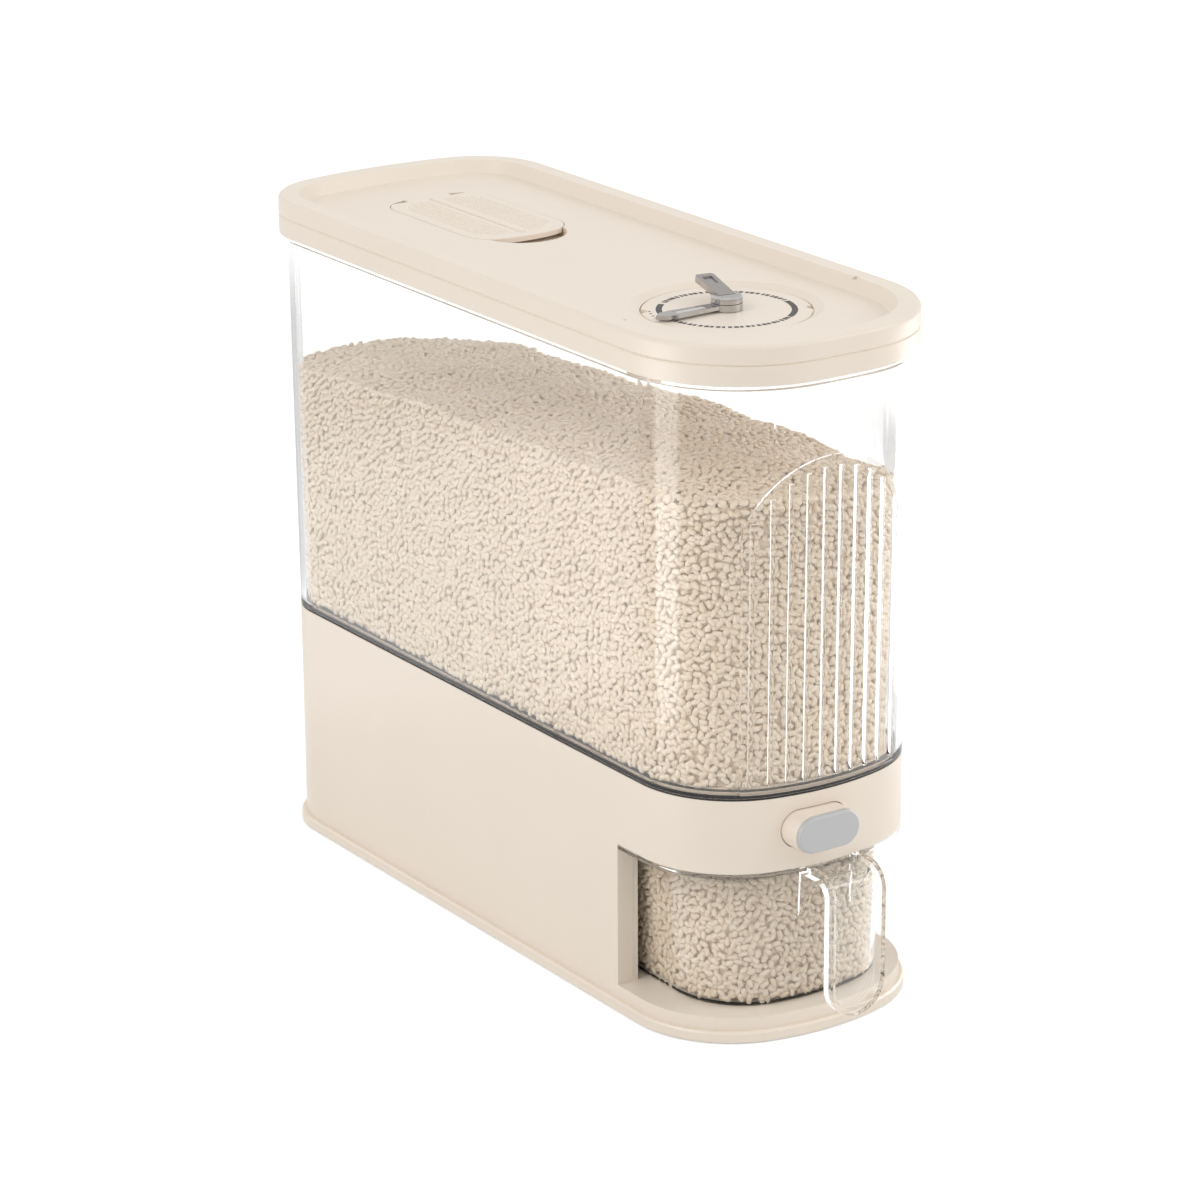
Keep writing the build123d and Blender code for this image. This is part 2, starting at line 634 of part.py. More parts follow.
def hook(outer_drop, thickness):
    """Side profile of the handle: out from the cup's rim, round a bend and straight down.

    outer_drop is how far the profile lies inside the handle's outer surface.
    """
    root = -190.0
    bend = 12.0
    outer = -HANDLE_REACH + outer_drop
    inner = outer + thickness
    top = CUP_RIM - outer_drop
    under = top - thickness
    corner_y = -HANDLE_REACH + bend
    corner_z = CUP_RIM - bend
    diagonal = cos(radians(45))
    outer_bend = bend - outer_drop
    inner_bend = outer_bend - thickness
    with BuildSketch() as profile:
        with BuildLine():
            Line((root, top), (corner_y, top))
            ThreePointArc(
                (corner_y, top),
                (corner_y - outer_bend * diagonal, corner_z + outer_bend * diagonal),
                (outer, corner_z),
            )
            Polyline((outer, corner_z), (outer, 0), (inner, 0), (inner, corner_z))
            ThreePointArc(
                (inner, corner_z),
                (corner_y - inner_bend * diagonal, corner_z + inner_bend * diagonal),
                (corner_y, under),
            )
            Polyline((corner_y, under), (root, under), (root, top))
        make_face()
    return profile.sketch


def tongue(half_width, bottom):
    """Front view of the handle: a strip with a round lower end."""
    with BuildSketch() as shape:
        with Locations((0, bottom + half_width + 50)):
            Rectangle(2 * half_width, 100)
        with Locations((0, bottom + half_width)):
            Circle(half_width)
    return shape.sketch


HANDLE_THICKNESS = 5.5
HANDLE_WEB = 2.0
HANDLE_RIB = 2.8

with BuildPart() as handle_recess:
    with BuildSketch(facing_side(HANDLE_X)):
        add(hook(-1.0, HANDLE_THICKNESS - HANDLE_WEB + 1.0))
    extrude(amount=HANDLE_WIDTH, both=True)
    with BuildSketch(facing_front(-197.5, HANDLE_X)):
        add(tongue(HANDLE_WIDTH / 2 - HANDLE_RIB, HANDLE_BOTTOM + HANDLE_RIB))
    extrude(amount=40.0, mode=Mode.INTERSECT)

with BuildPart() as handle:
    with BuildSketch(facing_side(HANDLE_X)):
        add(hook(0, HANDLE_THICKNESS))
    extrude(amount=HANDLE_WIDTH, both=True)
    with BuildSketch(facing_front(-180.0, HANDLE_X)):
        add(tongue(HANDLE_WIDTH / 2, HANDLE_BOTTOM))
    extrude(amount=60.0, mode=Mode.INTERSECT)
    add(handle_recess.part, mode=Mode.SUBTRACT)

with BuildPart() as measuring_cup:
    with BuildSketch(level(CUP_FLOOR)):
        add(CUP_BOTTOM.sketch())
    with BuildSketch(level(CUP_RIM - RIM_THICKNESS)):
        add(CUP_TOP.sketch())
    loft(ruled=True)
    fillet(measuring_cup.edges().group_by(Axis.Z)[0], 2.5)
    # rim: wide in front, where it closes the bay, and narrow where it slides into the bay
    with BuildSketch(level(CUP_RIM - RIM_THICKNESS)):
        add(BODY.sketch())
        with Locations((0, SPLIT_Y - FIT_GAP + 200)):
            Rectangle(200, 400, mode=Mode.SUBTRACT)
        add(CUP_TOP.grown(2.2).sketch())
    extrude(amount=RIM_THICKNESS)
    add(handle.part)
    # gussets under the handle's root
    for side in (-1, 1):
        with BuildSketch(facing_side(HANDLE_X + side * (HANDLE_WIDTH / 2 - 1.0))):
            with BuildLine():
                Polyline((-189.4, 82.0), (-205.0, 82.0), (-189.4, 58.0), close=True)
            make_face()
        extrude(amount=1.0, both=True)
    # open inside
    with BuildSketch(level(CUP_FLOOR + 2.4)):
        add(CUP_BOTTOM.grown(-CUP_WALL).sketch())
    with BuildSketch(level(CUP_RIM)):
        add(CUP_TOP.grown(-CUP_WALL).sketch())
    loft(ruled=True, mode=Mode.SUBTRACT)
save(measuring_cup.part, "measuring_cup")


# ---------------------------------------------------------------- lid

GROOVE = 0.6                  # chamfers that make the parting groove

with BuildPart() as lid_ring:
    with BuildSketch(level(LID_BOTTOM)):
        add(LID.sketch())
    extrude(amount=LID_SPLIT - LID_BOTTOM)
    chamfer(lid_ring.edges().group_by(Axis.Z)[-1], GROOVE)
    with BuildSketch(level(LID_BOTTOM)):
        add(LID.grown(-2.4).sketch())
    extrude(amount=LID_SPLIT - LID_BOTTOM - 2.0, mode=Mode.SUBTRACT)
    with BuildSketch(level(LID_BOTTOM)):
        add(HOPPER_MOUTH.grown(0.5).sketch())
    extrude(amount=LID_SPLIT - LID_BOTTOM, mode=Mode.SUBTRACT)
save(lid_ring.part, "lid_ring")

SHELL_BOTTOM = TRAY_TOP - 2.4
RIM_WIDTH = 10.9
TRAY_INSET = 14.9
SEAL_GAP = 0.3
SEAL_RIB = 4.2                # from the hopper's outer face to the rib that carries the seal
SCOOP_RADIUS = 22.5
SCOOP_Y = 61.0
BOX_HALF_WIDTH = 24.0
BOX_FRONT = 64.0
BOX_REAR = 137.0
BOX_MIDDLE = (BOX_FRONT + BOX_REAR) / 2
BOX_LENGTH = BOX_REAR - BOX_FRONT
WELL_BOSS_BOTTOM = WELL_FLOOR - 2.4
HATCH_BOSS_BOTTOM = BOX_SEAT - 2.4

with BuildPart() as lid_top:
    with BuildSketch(level(LID_SPLIT)):
        add(LID.sketch())
    extrude(amount=LID_TOP - LID_SPLIT)
    fillet(lid_top.edges().group_by(Axis.Z)[-1], 2.2)
    chamfer(lid_top.edges().group_by(Axis.Z)[0], GROOVE)
    # recessed tray with a sloping wall
    with BuildSketch(level(TRAY_TOP)):
        add(LID.grown(-TRAY_INSET).sketch())
    with BuildSketch(level(LID_TOP)):
        add(LID.grown(-RIM_WIDTH).sketch())
    loft(ruled=True, mode=Mode.SUBTRACT)
    # hollow underside, with a channel under the rim for the hopper's edge
    with BuildSketch(level(LID_SPLIT)):
        add(LID.grown(-2.4).sketch())
    extrude(amount=SHELL_BOTTOM - LID_SPLIT, mode=Mode.SUBTRACT)
    with BuildSketch(level(SHELL_BOTTOM)):
        add(LID.grown(-2.4).sketch())
        add(LID.grown(-8.0).sketch(), mode=Mode.SUBTRACT)
    extrude(amount=LID_TOP - 2.4 - SHELL_BOTTOM, mode=Mode.SUBTRACT)
    # rib that carries the seal
    with BuildSketch(level(327.0)):
        add(HOPPER_MOUTH.grown(-SEAL_RIB).sketch())
        add(HOPPER_MOUTH.grown(-SEAL_RIB - 2.0).sketch(), mode=Mode.SUBTRACT)
    extrude(amount=SHELL_BOTTOM - 327.0 + 0.5)
    # bosses under the dial well and the hatch
    with BuildSketch(level(WELL_BOSS_BOTTOM, DIAL_Y)):
        Circle(WELL_RADIUS + 2.2)
    extrude(amount=SHELL_BOTTOM - WELL_BOSS_BOTTOM + 0.5)
    with BuildSketch(level(HATCH_BOSS_BOTTOM)):
        with Locations((0, HATCH_Y)):
            add(HATCH.grown(2.6).sketch())
        with Locations((0, SCOOP_Y)):
            Circle(SCOOP_RADIUS + 2.4)
    extrude(amount=SHELL_BOTTOM - HATCH_BOSS_BOTTOM + 0.5)
    # dial well: a conical wall and a flat floor
    with BuildSketch(level(DISC_TOP - 0.2, DIAL_Y)):
        Circle(DISC_RADIUS + 1.0)
    with BuildSketch(level(TRAY_TOP, DIAL_Y)):
        Circle(WELL_RADIUS)
    loft(mode=Mode.SUBTRACT)
    with BuildSketch(level(WELL_FLOOR, DIAL_Y)):
        Circle(DISC_RADIUS + 0.6)
    extrude(amount=TRAY_TOP - WELL_FLOOR, mode=Mode.SUBTRACT)
    with BuildSketch(level(WELL_BOSS_BOTTOM, DIAL_Y)):
        Circle(SPINDLE_RADIUS)
    extrude(amount=5.0, mode=Mode.SUBTRACT)
    # hatch recess, finger scoop and the opening for the desiccant box
    with BuildSketch(level(HATCH_SEAT)):
        with Locations((0, HATCH_Y)):
            add(HATCH.grown(FIT_GAP).sketch())
    extrude(amount=TRAY_TOP - HATCH_SEAT, mode=Mode.SUBTRACT)
    with BuildSketch(level(TROUGH_FLOOR)):
        with Locations((0, HATCH_Y)):
            add(HATCH.grown(FIT_GAP).sketch())
        with Locations((0, HINGE_Y + 3.8)):
            Rectangle(2 * (HINGE_HALF_LENGTH + FIT_GAP), 10.0, mode=Mode.INTERSECT)
    extrude(amount=HATCH_SEAT - TROUGH_FLOOR, mode=Mode.SUBTRACT)
    with BuildSketch(level(BOX_SEAT, SCOOP_Y)):
        Circle(SCOOP_RADIUS)
    extrude(amount=TRAY_TOP - BOX_SEAT, mode=Mode.SUBTRACT)
    with BuildSketch(level(BOX_SEAT, BOX_MIDDLE)):
        Rectangle(2 * BOX_HALF_WIDTH + 4, BOX_LENGTH + 4)
    extrude(amount=HATCH_SEAT - BOX_SEAT, mode=Mode.SUBTRACT)
    with BuildSketch(level(HATCH_BOSS_BOTTOM, BOX_MIDDLE)):
        Rectangle(2 * BOX_HALF_WIDTH, BOX_LENGTH)
    extrude(amount=HATCH_SEAT - HATCH_BOSS_BOTTOM, mode=Mode.SUBTRACT)
    with BuildSketch(facing_side(-PIN_HALF_LENGTH)):
        with Locations((HINGE_Y, HINGE_Z)):
            Circle(PIN_RADIUS)
    extrude(amount=2 * PIN_HALF_LENGTH, mode=Mode.SUBTRACT)
    # small notches in the rim's inner edge
    with BuildSketch(level(LID_TOP - 1.4)):
        with Locations((LID.half_width - RIM_WIDTH, -125.0), (RIM_WIDTH - LID.half_width, -125.0)):
            Rectangle(3.2, 3.0)
    extrude(amount=1.4, mode=Mode.SUBTRACT)
save(lid_top.part, "lid_top")

with BuildPart() as lid_seal:
    with BuildSketch(level(328.0)):
        add(HOPPER_MOUTH.grown(-HOPPER_WALL - SEAL_GAP).sketch())
        add(HOPPER_MOUTH.grown(-SEAL_RIB).sketch(), mode=Mode.SUBTRACT)
    extrude(amount=3.0)
save(lid_seal.part, "lid_seal")

with BuildPart() as hatch_cover:
    with BuildSketch(level(HATCH_BOTTOM, HATCH_Y)):
        add(HATCH.sketch())
    extrude(amount=HATCH_TOP - HATCH_BOTTOM)
    fillet(hatch_cover.edges().group_by(Axis.Z)[-1], 0.6)
    # the rear corners stop short of the hinge line, and only the middle goes over the pin
    with BuildSketch(level(HATCH_BOTTOM, HINGE_Y + 2.5)):
        for side in (-1, 1):
            with Locations((side * (HINGE_HALF_LENGTH + 20.0), 0)):
                Rectangle(40.0, 10.0)
    extrude(amount=5.0, mode=Mode.SUBTRACT)
    # raised ridge along the middle
    with BuildSketch(level(HATCH_TOP - 0.5, HATCH_Y)):
        SlotOverall(2 * HATCH.front - 12.0, 2.6, rotation=90)
    extrude(amount=0.9)
    with BuildSketch(facing_side(-HATCH.half_width)):
        with Locations((HINGE_Y, HINGE_Z)):
            Circle(PIN_RADIUS + RUNNING_FIT)
    extrude(amount=2 * HATCH.half_width, mode=Mode.SUBTRACT)
save(hatch_cover.part, "hatch_cover")

with BuildPart() as hatch_pin:
    with BuildSketch(facing_side(-PIN_HALF_LENGTH)):
        with Locations((HINGE_Y, HINGE_Z)):
            Circle(PIN_RADIUS)
    extrude(amount=2 * PIN_HALF_LENGTH)
save(hatch_pin.part, "hatch_pin")

with BuildPart() as desiccant_box:
    with BuildSketch(level(BOX_BOTTOM, BOX_MIDDLE)):
        RectangleRounded(2 * BOX_HALF_WIDTH - 0.8, BOX_LENGTH - 0.8, 4.0)
    extrude(amount=BOX_SEAT - BOX_BOTTOM)
    with BuildSketch(level(BOX_SEAT, BOX_MIDDLE)):
        Rectangle(2 * BOX_HALF_WIDTH + 3.2, BOX_LENGTH + 3.2)
    extrude(amount=1.8)
    with BuildSketch(level(BOX_BOTTOM + 1.6, BOX_MIDDLE)):
        RectangleRounded(2 * BOX_HALF_WIDTH - 4.0, BOX_LENGTH - 4.0, 2.4)
    extrude(amount=30.0, mode=Mode.SUBTRACT)
    # slots that let the damp air in
    with BuildSketch(level(BOX_BOTTOM, BOX_MIDDLE)):
        with GridLocations(0, 9.0, 1, 6):
            SlotOverall(34.0, 3.0)
    extrude(amount=1.6, mode=Mode.SUBTRACT)
save(desiccant_box.part, "desiccant_box")


# ---------------------------------------------------------------- date dial

NOTCH_ANGLES = (150.0, -30.0)

with BuildPart() as dial_disc:
    with BuildSketch(level(WELL_FLOOR, DIAL_Y)):
        Circle(DISC_RADIUS)
        Circle(SPINDLE_RADIUS, mode=Mode.SUBTRACT)
        for angle in NOTCH_ANGLES:
            with Locations((DISC_RADIUS * cos(radians(angle)), DISC_RADIUS * sin(radians(angle)))):
                Circle(3.0, mode=Mode.SUBTRACT)
    extrude(amount=DISC_TOP - WELL_FLOOR)
    chamfer(dial_disc.edges().group_by(Axis.Z)[-1].sort_by(SortBy.LENGTH)[-2:], 0.4)
save(dial_disc.part, "dial_disc")

SPINDLE_TOP = 340.1
SPINDLE_BOTTOM = 328.4

with BuildPart() as dial_spindle:
    with BuildSketch(level(SPINDLE_BOTTOM, DIAL_Y)):
        Circle(SPINDLE_RADIUS)
    extrude(amount=SPINDLE_TOP - SPINDLE_BOTTOM)
save(dial_spindle.part, "dial_spindle")

with BuildPart() as spindle_washer:
    with BuildSketch(level(WELL_BOSS_BOTTOM - 1.4, DIAL_Y)):
        Circle(5.5)
        Circle(SPINDLE_RADIUS, mode=Mode.SUBTRACT)
    extrude(amount=1.4)
save(spindle_washer.part, "spindle_washer")


def hand_plane(angle, z, tilt=0.0):
    """Plane on the dial's axis at height z whose local X points along a hand, tilted up by tilt."""
    turn = radians(angle)
    rise = radians(tilt)
    along = (cos(turn) * cos(rise), sin(turn) * cos(rise), sin(rise))
    normal = (-cos(turn) * sin(rise), -sin(turn) * sin(rise), cos(rise))
    return Plane(origin=(0, BODY_Y + DIAL_Y, z), x_dir=along, z_dir=normal)


LOWER_COLLAR = DISC_TOP + 0.3
UPPER_CAP = LOWER_COLLAR + 3.6
POINTER_LENGTH = 40.4
LEVER_LENGTH = 26.0
LEVER_TILT = 8.5
LEVER_ROOT = UPPER_CAP + 0.4

with BuildPart() as lower_hand:
    with BuildSketch(level(LOWER_COLLAR, DIAL_Y)):
        Circle(HUB_RADIUS)
    extrude(amount=UPPER_CAP - LOWER_COLLAR - 0.3)
    with BuildSketch(hand_plane(LOWER_HAND_ANGLE, LOWER_COLLAR + 1.0)):
        with BuildLine():
            Polyline(
                (0, 3.2), (30.0, 4.4), (36.0, 3.8), (POINTER_LENGTH, 0), (36.0, -3.8), (30.0, -4.4), (0, -3.2),
                close=True,
            )
        make_face()
    extrude(amount=1.8)
    with BuildSketch(hand_plane(LOWER_HAND_ANGLE, LOWER_COLLAR + 2.2)):
        with Locations((21.0, 0)):
            Rectangle(17.0, 4.2)
    extrude(amount=1.0, mode=Mode.SUBTRACT)
    with BuildSketch(level(LOWER_COLLAR, DIAL_Y)):
        Circle(SPINDLE_RADIUS + RUNNING_FIT)
    extrude(amount=6.0, mode=Mode.SUBTRACT)
save(lower_hand.part, "lower_hand")

with BuildPart() as upper_hand:
    with BuildSketch(level(UPPER_CAP, DIAL_Y)):
        Circle(HUB_RADIUS)
    extrude(amount=3.2)
    chamfer(upper_hand.edges().group_by(Axis.Z)[-1], 0.7)
    with BuildSketch(hand_plane(UPPER_HAND_ANGLE, LEVER_ROOT, LEVER_TILT)):
        with BuildLine():
            Polyline(
                (0, 4.2), (LEVER_LENGTH - 1.5, 4.8), (LEVER_LENGTH, 3.6),
                (LEVER_LENGTH, -3.6), (LEVER_LENGTH - 1.5, -4.8), (0, -4.2),
                close=True,
            )
        make_face()
    extrude(amount=3.0)
    with BuildSketch(hand_plane(UPPER_HAND_ANGLE, LEVER_ROOT + 2.3, LEVER_TILT)):
        with Locations((LEVER_LENGTH - 8.0, 0)):
            Rectangle(8.5, 5.0)
    extrude(amount=3.0, mode=Mode.SUBTRACT)
    with BuildSketch(level(UPPER_CAP, DIAL_Y)):
        Circle(SPINDLE_RADIUS + RUNNING_FIT)
    extrude(amount=SPINDLE_TOP - UPPER_CAP + 0.3, mode=Mode.SUBTRACT)
save(upper_hand.part, "upper_hand")
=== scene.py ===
"""Looks of the rice dispenser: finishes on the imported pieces, the rice, small marks, lights and camera.

Lengths are in millimetres in the dataclasses and become metres where a mesh is made. X is across the
body, -Y is its front and Z is up. The body's own centre stands a little behind the frame's origin.
"""

import logging
import math
from collections.abc import Callable, Iterable
from dataclasses import astuple, dataclass
from enum import Enum

import bmesh
import bpy
from mathutils import Matrix, Vector


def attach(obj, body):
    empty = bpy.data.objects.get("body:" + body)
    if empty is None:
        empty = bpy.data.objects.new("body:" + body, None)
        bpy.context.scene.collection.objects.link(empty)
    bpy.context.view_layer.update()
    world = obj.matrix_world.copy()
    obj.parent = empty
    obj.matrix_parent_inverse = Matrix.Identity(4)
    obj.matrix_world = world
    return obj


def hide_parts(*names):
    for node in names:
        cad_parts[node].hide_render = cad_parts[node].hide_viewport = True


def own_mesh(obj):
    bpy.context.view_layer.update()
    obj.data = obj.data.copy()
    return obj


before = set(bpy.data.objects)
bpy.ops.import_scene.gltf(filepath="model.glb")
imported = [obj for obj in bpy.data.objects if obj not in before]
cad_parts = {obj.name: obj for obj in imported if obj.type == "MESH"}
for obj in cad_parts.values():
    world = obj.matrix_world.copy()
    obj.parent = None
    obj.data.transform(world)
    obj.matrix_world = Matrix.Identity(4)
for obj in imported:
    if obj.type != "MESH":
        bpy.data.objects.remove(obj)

LOG = logging.getLogger("rice_dispenser")
MM = 0.001
WELD = 0.001 * MM     # vertices nearer than this become one
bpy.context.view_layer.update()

MIX_SHARE = 0         # sockets of a Mix node that mixes colours
MIX_LOW = 6
MIX_HIGH = 7
MIX_RESULT = 2

Colour = tuple[float, float, float]
Point = tuple[float, float, float]


class Body(str, Enum):
    """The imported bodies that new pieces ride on."""

    BASE = "base"
    CUP = "cup"
    LID = "lid"
    HATCH = "hatch"
    LOWER_POINTER = "lower_pointer"


def srgb(red: int, green: int, blue: int) -> Colour:
    """A colour as a screen shows it, in the renderer's linear values.

    Args:
        red: Red from 0 to 255.
        green: Green from 0 to 255.
        blue: Blue from 0 to 255.

    Returns:
        The linear red, green and blue.
    """

    def linear(level: int) -> float:
        """One channel by the curve of the sRGB standard."""
        share = level / 255
        return share / 12.92 if share <= 0.04045 else ((share + 0.055) / 1.055) ** 2.4

    return (linear(red), linear(green), linear(blue))


# ---------------------------------------------------------------- shader nodes


class ShaderSheet:
    """A node tree with short ways to add and join its nodes."""

    def __init__(self, tree: bpy.types.NodeTree) -> None:
        """Takes the tree and empties it.

        Args:
            tree: The node tree of a material, a world or a node group.
        """
        self.tree = tree
        self.tree.nodes.clear()

    def add(
        self, kind: str, values: dict[str | int, object] | None = None, **settings: object
    ) -> bpy.types.Node:
        """Adds a node.

        Args:
            kind: The node's type, such as ShaderNodeTexNoise.
            values: Plain values for its input sockets, by socket name or number.
            **settings: Properties of the node itself.

        Returns:
            The new node.
        """
        node = self.tree.nodes.new(kind)
        for name, value in settings.items():
            setattr(node, name, value)
        for name, value in (values or {}).items():
            node.inputs[name].default_value = value
        return node

    def join(self, source: bpy.types.NodeSocket, target: bpy.types.NodeSocket) -> None:
        """Links an output socket to an input socket."""
        self.tree.links.new(source, target)

    def blend_colours(
        self, mask: bpy.types.NodeSocket, low: Colour, high: Colour
    ) -> bpy.types.NodeSocket:
        """Mixes two plain colours by a mask.

        Args:
            mask: The socket that gives the share of the second colour.
            low: The colour where the mask is 0.
            high: The colour where the mask is 1.

        Returns:
            The socket that gives the mixed colour.
        """
        mix = self.add("ShaderNodeMix", data_type="RGBA")
        mix.inputs[MIX_LOW].default_value = (*low, 1.0)
        mix.inputs[MIX_HIGH].default_value = (*high, 1.0)
        self.join(mask, mix.inputs[MIX_SHARE])
        return mix.outputs[MIX_RESULT]

    def scaled(
        self, source: bpy.types.NodeSocket, low: float, high: float
    ) -> bpy.types.NodeSocket:
        """Maps a value between 0 and 1 to a range.

        Args:
            source: The socket that gives the value.
            low: The result where the value is 0.
            high: The result where the value is 1.

        Returns:
            The socket that gives the result.
        """
        ramp = self.add("ShaderNodeMapRange", {"To Min": low, "To Max": high})
        self.join(source, ramp.inputs["Value"])
        return ramp.outputs["Result"]


def surface_group() -> bpy.types.NodeTree:
    """The surface that a mould leaves, shared by all plastics, rubber and metal.

    Returns:
        A node group with the inputs Texture Scale and Cloud Scale and the outputs Clouds, Speckle
        and Height, all between 0 and 1.
    """
    name = "moulded_surface"
    if name in bpy.data.node_groups:
        return bpy.data.node_groups[name]
    group = bpy.data.node_groups.new(name, "ShaderNodeTree")
    group.interface.new_socket("Texture Scale", in_out="INPUT", socket_type="NodeSocketFloat")
    group.interface.new_socket("Cloud Scale", in_out="INPUT", socket_type="NodeSocketFloat")
    for output in ("Clouds", "Speckle", "Height"):
        group.interface.new_socket(output, in_out="OUTPUT", socket_type="NodeSocketFloat")
    sheet = ShaderSheet(group)
    inlet = sheet.add("NodeGroupInput")
    outlet = sheet.add("NodeGroupOutput")
    place = sheet.add("ShaderNodeTexCoord")
    clouds = sheet.add("ShaderNodeTexNoise", {"Detail": 3.0, "Roughness": 0.55})
    speckle = sheet.add("ShaderNodeTexNoise", {"Detail": 2.0, "Roughness": 0.6})
    pits = sheet.add("ShaderNodeTexVoronoi", {"Randomness": 1.0}, feature="SMOOTH_F1")
    for texture in (clouds, speckle, pits):
        sheet.join(place.outputs["Object"], texture.inputs["Vector"])
    sheet.join(inlet.outputs["Cloud Scale"], clouds.inputs["Scale"])
    sheet.join(inlet.outputs["Texture Scale"], speckle.inputs["Scale"])
    sheet.join(inlet.outputs["Texture Scale"], pits.inputs["Scale"])
    total = sheet.add("ShaderNodeMath", operation="ADD", use_clamp=True)
    half = sheet.add("ShaderNodeMath", {1: 0.5}, operation="MULTIPLY")
    sheet.join(speckle.outputs["Fac"], half.inputs[0])
    sheet.join(half.outputs[0], total.inputs[0])
    sheet.join(pits.outputs["Distance"], total.inputs[1])
    sheet.join(clouds.outputs["Fac"], outlet.inputs["Clouds"])
    sheet.join(speckle.outputs["Fac"], outlet.inputs["Speckle"])
    sheet.join(total.outputs[0], outlet.inputs["Height"])
    return group


def new_material(name: str) -> tuple[bpy.types.Material, ShaderSheet]:
    """Makes an empty node material.

    Args:
        name: The material's name.

    Returns:
        The material and the sheet of its nodes.
    """
    material = bpy.data.materials.new(name)
    material.use_nodes = True
    return material, ShaderSheet(material.node_tree)


# ---------------------------------------------------------------- finishes


@dataclass(frozen=True)
class SolidFinish:
    """An opaque moulded, drawn or plated surface.

    Attributes:
        name: The material's name.
        colour: The main colour.
        shade: The colour of its faint clouds.
        roughness: Roughness where the surface is smoothest.
        roughness_spread: How much rougher it gets.
        metallic: 1 on metal and plating.
        texture_size: Size of the fine texture, in mm.
        texture_depth: Depth of the fine texture, in mm.
        cloud_size: Size of the colour clouds, in mm.
        top: A colour painted on faces that look up, where it differs: painted light or shade by which way
            a face looks, on plating a painted dark reflection.
    """

    name: str
    colour: Colour
    shade: Colour
    roughness: float
    roughness_spread: float
    metallic: float = 0.0
    texture_size: float = 0.5
    texture_depth: float = 0.01
    cloud_size: float = 60.0
    top: Colour | None = None

    def material(self) -> bpy.types.Material:
        """Makes the finish on first use.

        Returns:
            The finish as a material.
        """
        if self.name in bpy.data.materials:
            return bpy.data.materials[self.name]
        material, sheet = new_material(self.name)
        output = sheet.add("ShaderNodeOutputMaterial")
        shader = sheet.add("ShaderNodeBsdfPrincipled", {"Metallic": self.metallic})
        surface = sheet.add("ShaderNodeGroup", node_tree=surface_group())
        surface.inputs["Texture Scale"].default_value = 1 / (self.texture_size * MM)
        surface.inputs["Cloud Scale"].default_value = 1 / (self.cloud_size * MM)
        colour = sheet.blend_colours(surface.outputs["Clouds"], self.colour, self.shade)
        # painted reflection: faces that look up get the top colour
        if self.top is not None:
            colour = self.painted_top_reflection(sheet, colour)
        sheet.join(colour, shader.inputs["Base Color"])
        high = self.roughness + self.roughness_spread
        rough = sheet.scaled(surface.outputs["Speckle"], self.roughness, high)
        sheet.join(rough, shader.inputs["Roughness"])
        bump = sheet.add("ShaderNodeBump", {"Strength": 0.5, "Distance": self.texture_depth * MM})
        sheet.join(surface.outputs["Height"], bump.inputs["Height"])
        sheet.join(bump.outputs["Normal"], shader.inputs["Normal"])
        sheet.join(shader.outputs["BSDF"], output.inputs["Surface"])
        return material

    def painted_top_reflection(self, sheet: ShaderSheet, colour: bpy.types.NodeSocket) -> bpy.types.NodeSocket:
        """Paints faces that look up in their own colour, a painted reflection or shade by which way they
        face.

        Args:
            sheet: The material's nodes.
            colour: The socket with the colour of the other faces.

        Returns:
            The socket with the colour of all faces.
        """
        # The mask picks the faces that look up, where the painted reflection goes.
        place = sheet.add("ShaderNodeTexCoord")
        parts = sheet.add("ShaderNodeSeparateXYZ")
        mask = sheet.add("ShaderNodeMapRange", {"From Min": 0.9, "From Max": 0.98})
        mix = sheet.add("ShaderNodeMix", data_type="RGBA")
        mix.inputs[MIX_HIGH].default_value = (*self.top, 1.0)
        sheet.join(place.outputs["Normal"], parts.inputs[0])
        sheet.join(parts.outputs["Z"], mask.inputs["Value"])
        sheet.join(mask.outputs["Result"], mix.inputs[MIX_SHARE])
        sheet.join(colour, mix.inputs[MIX_LOW])
        return mix.outputs[MIX_RESULT]


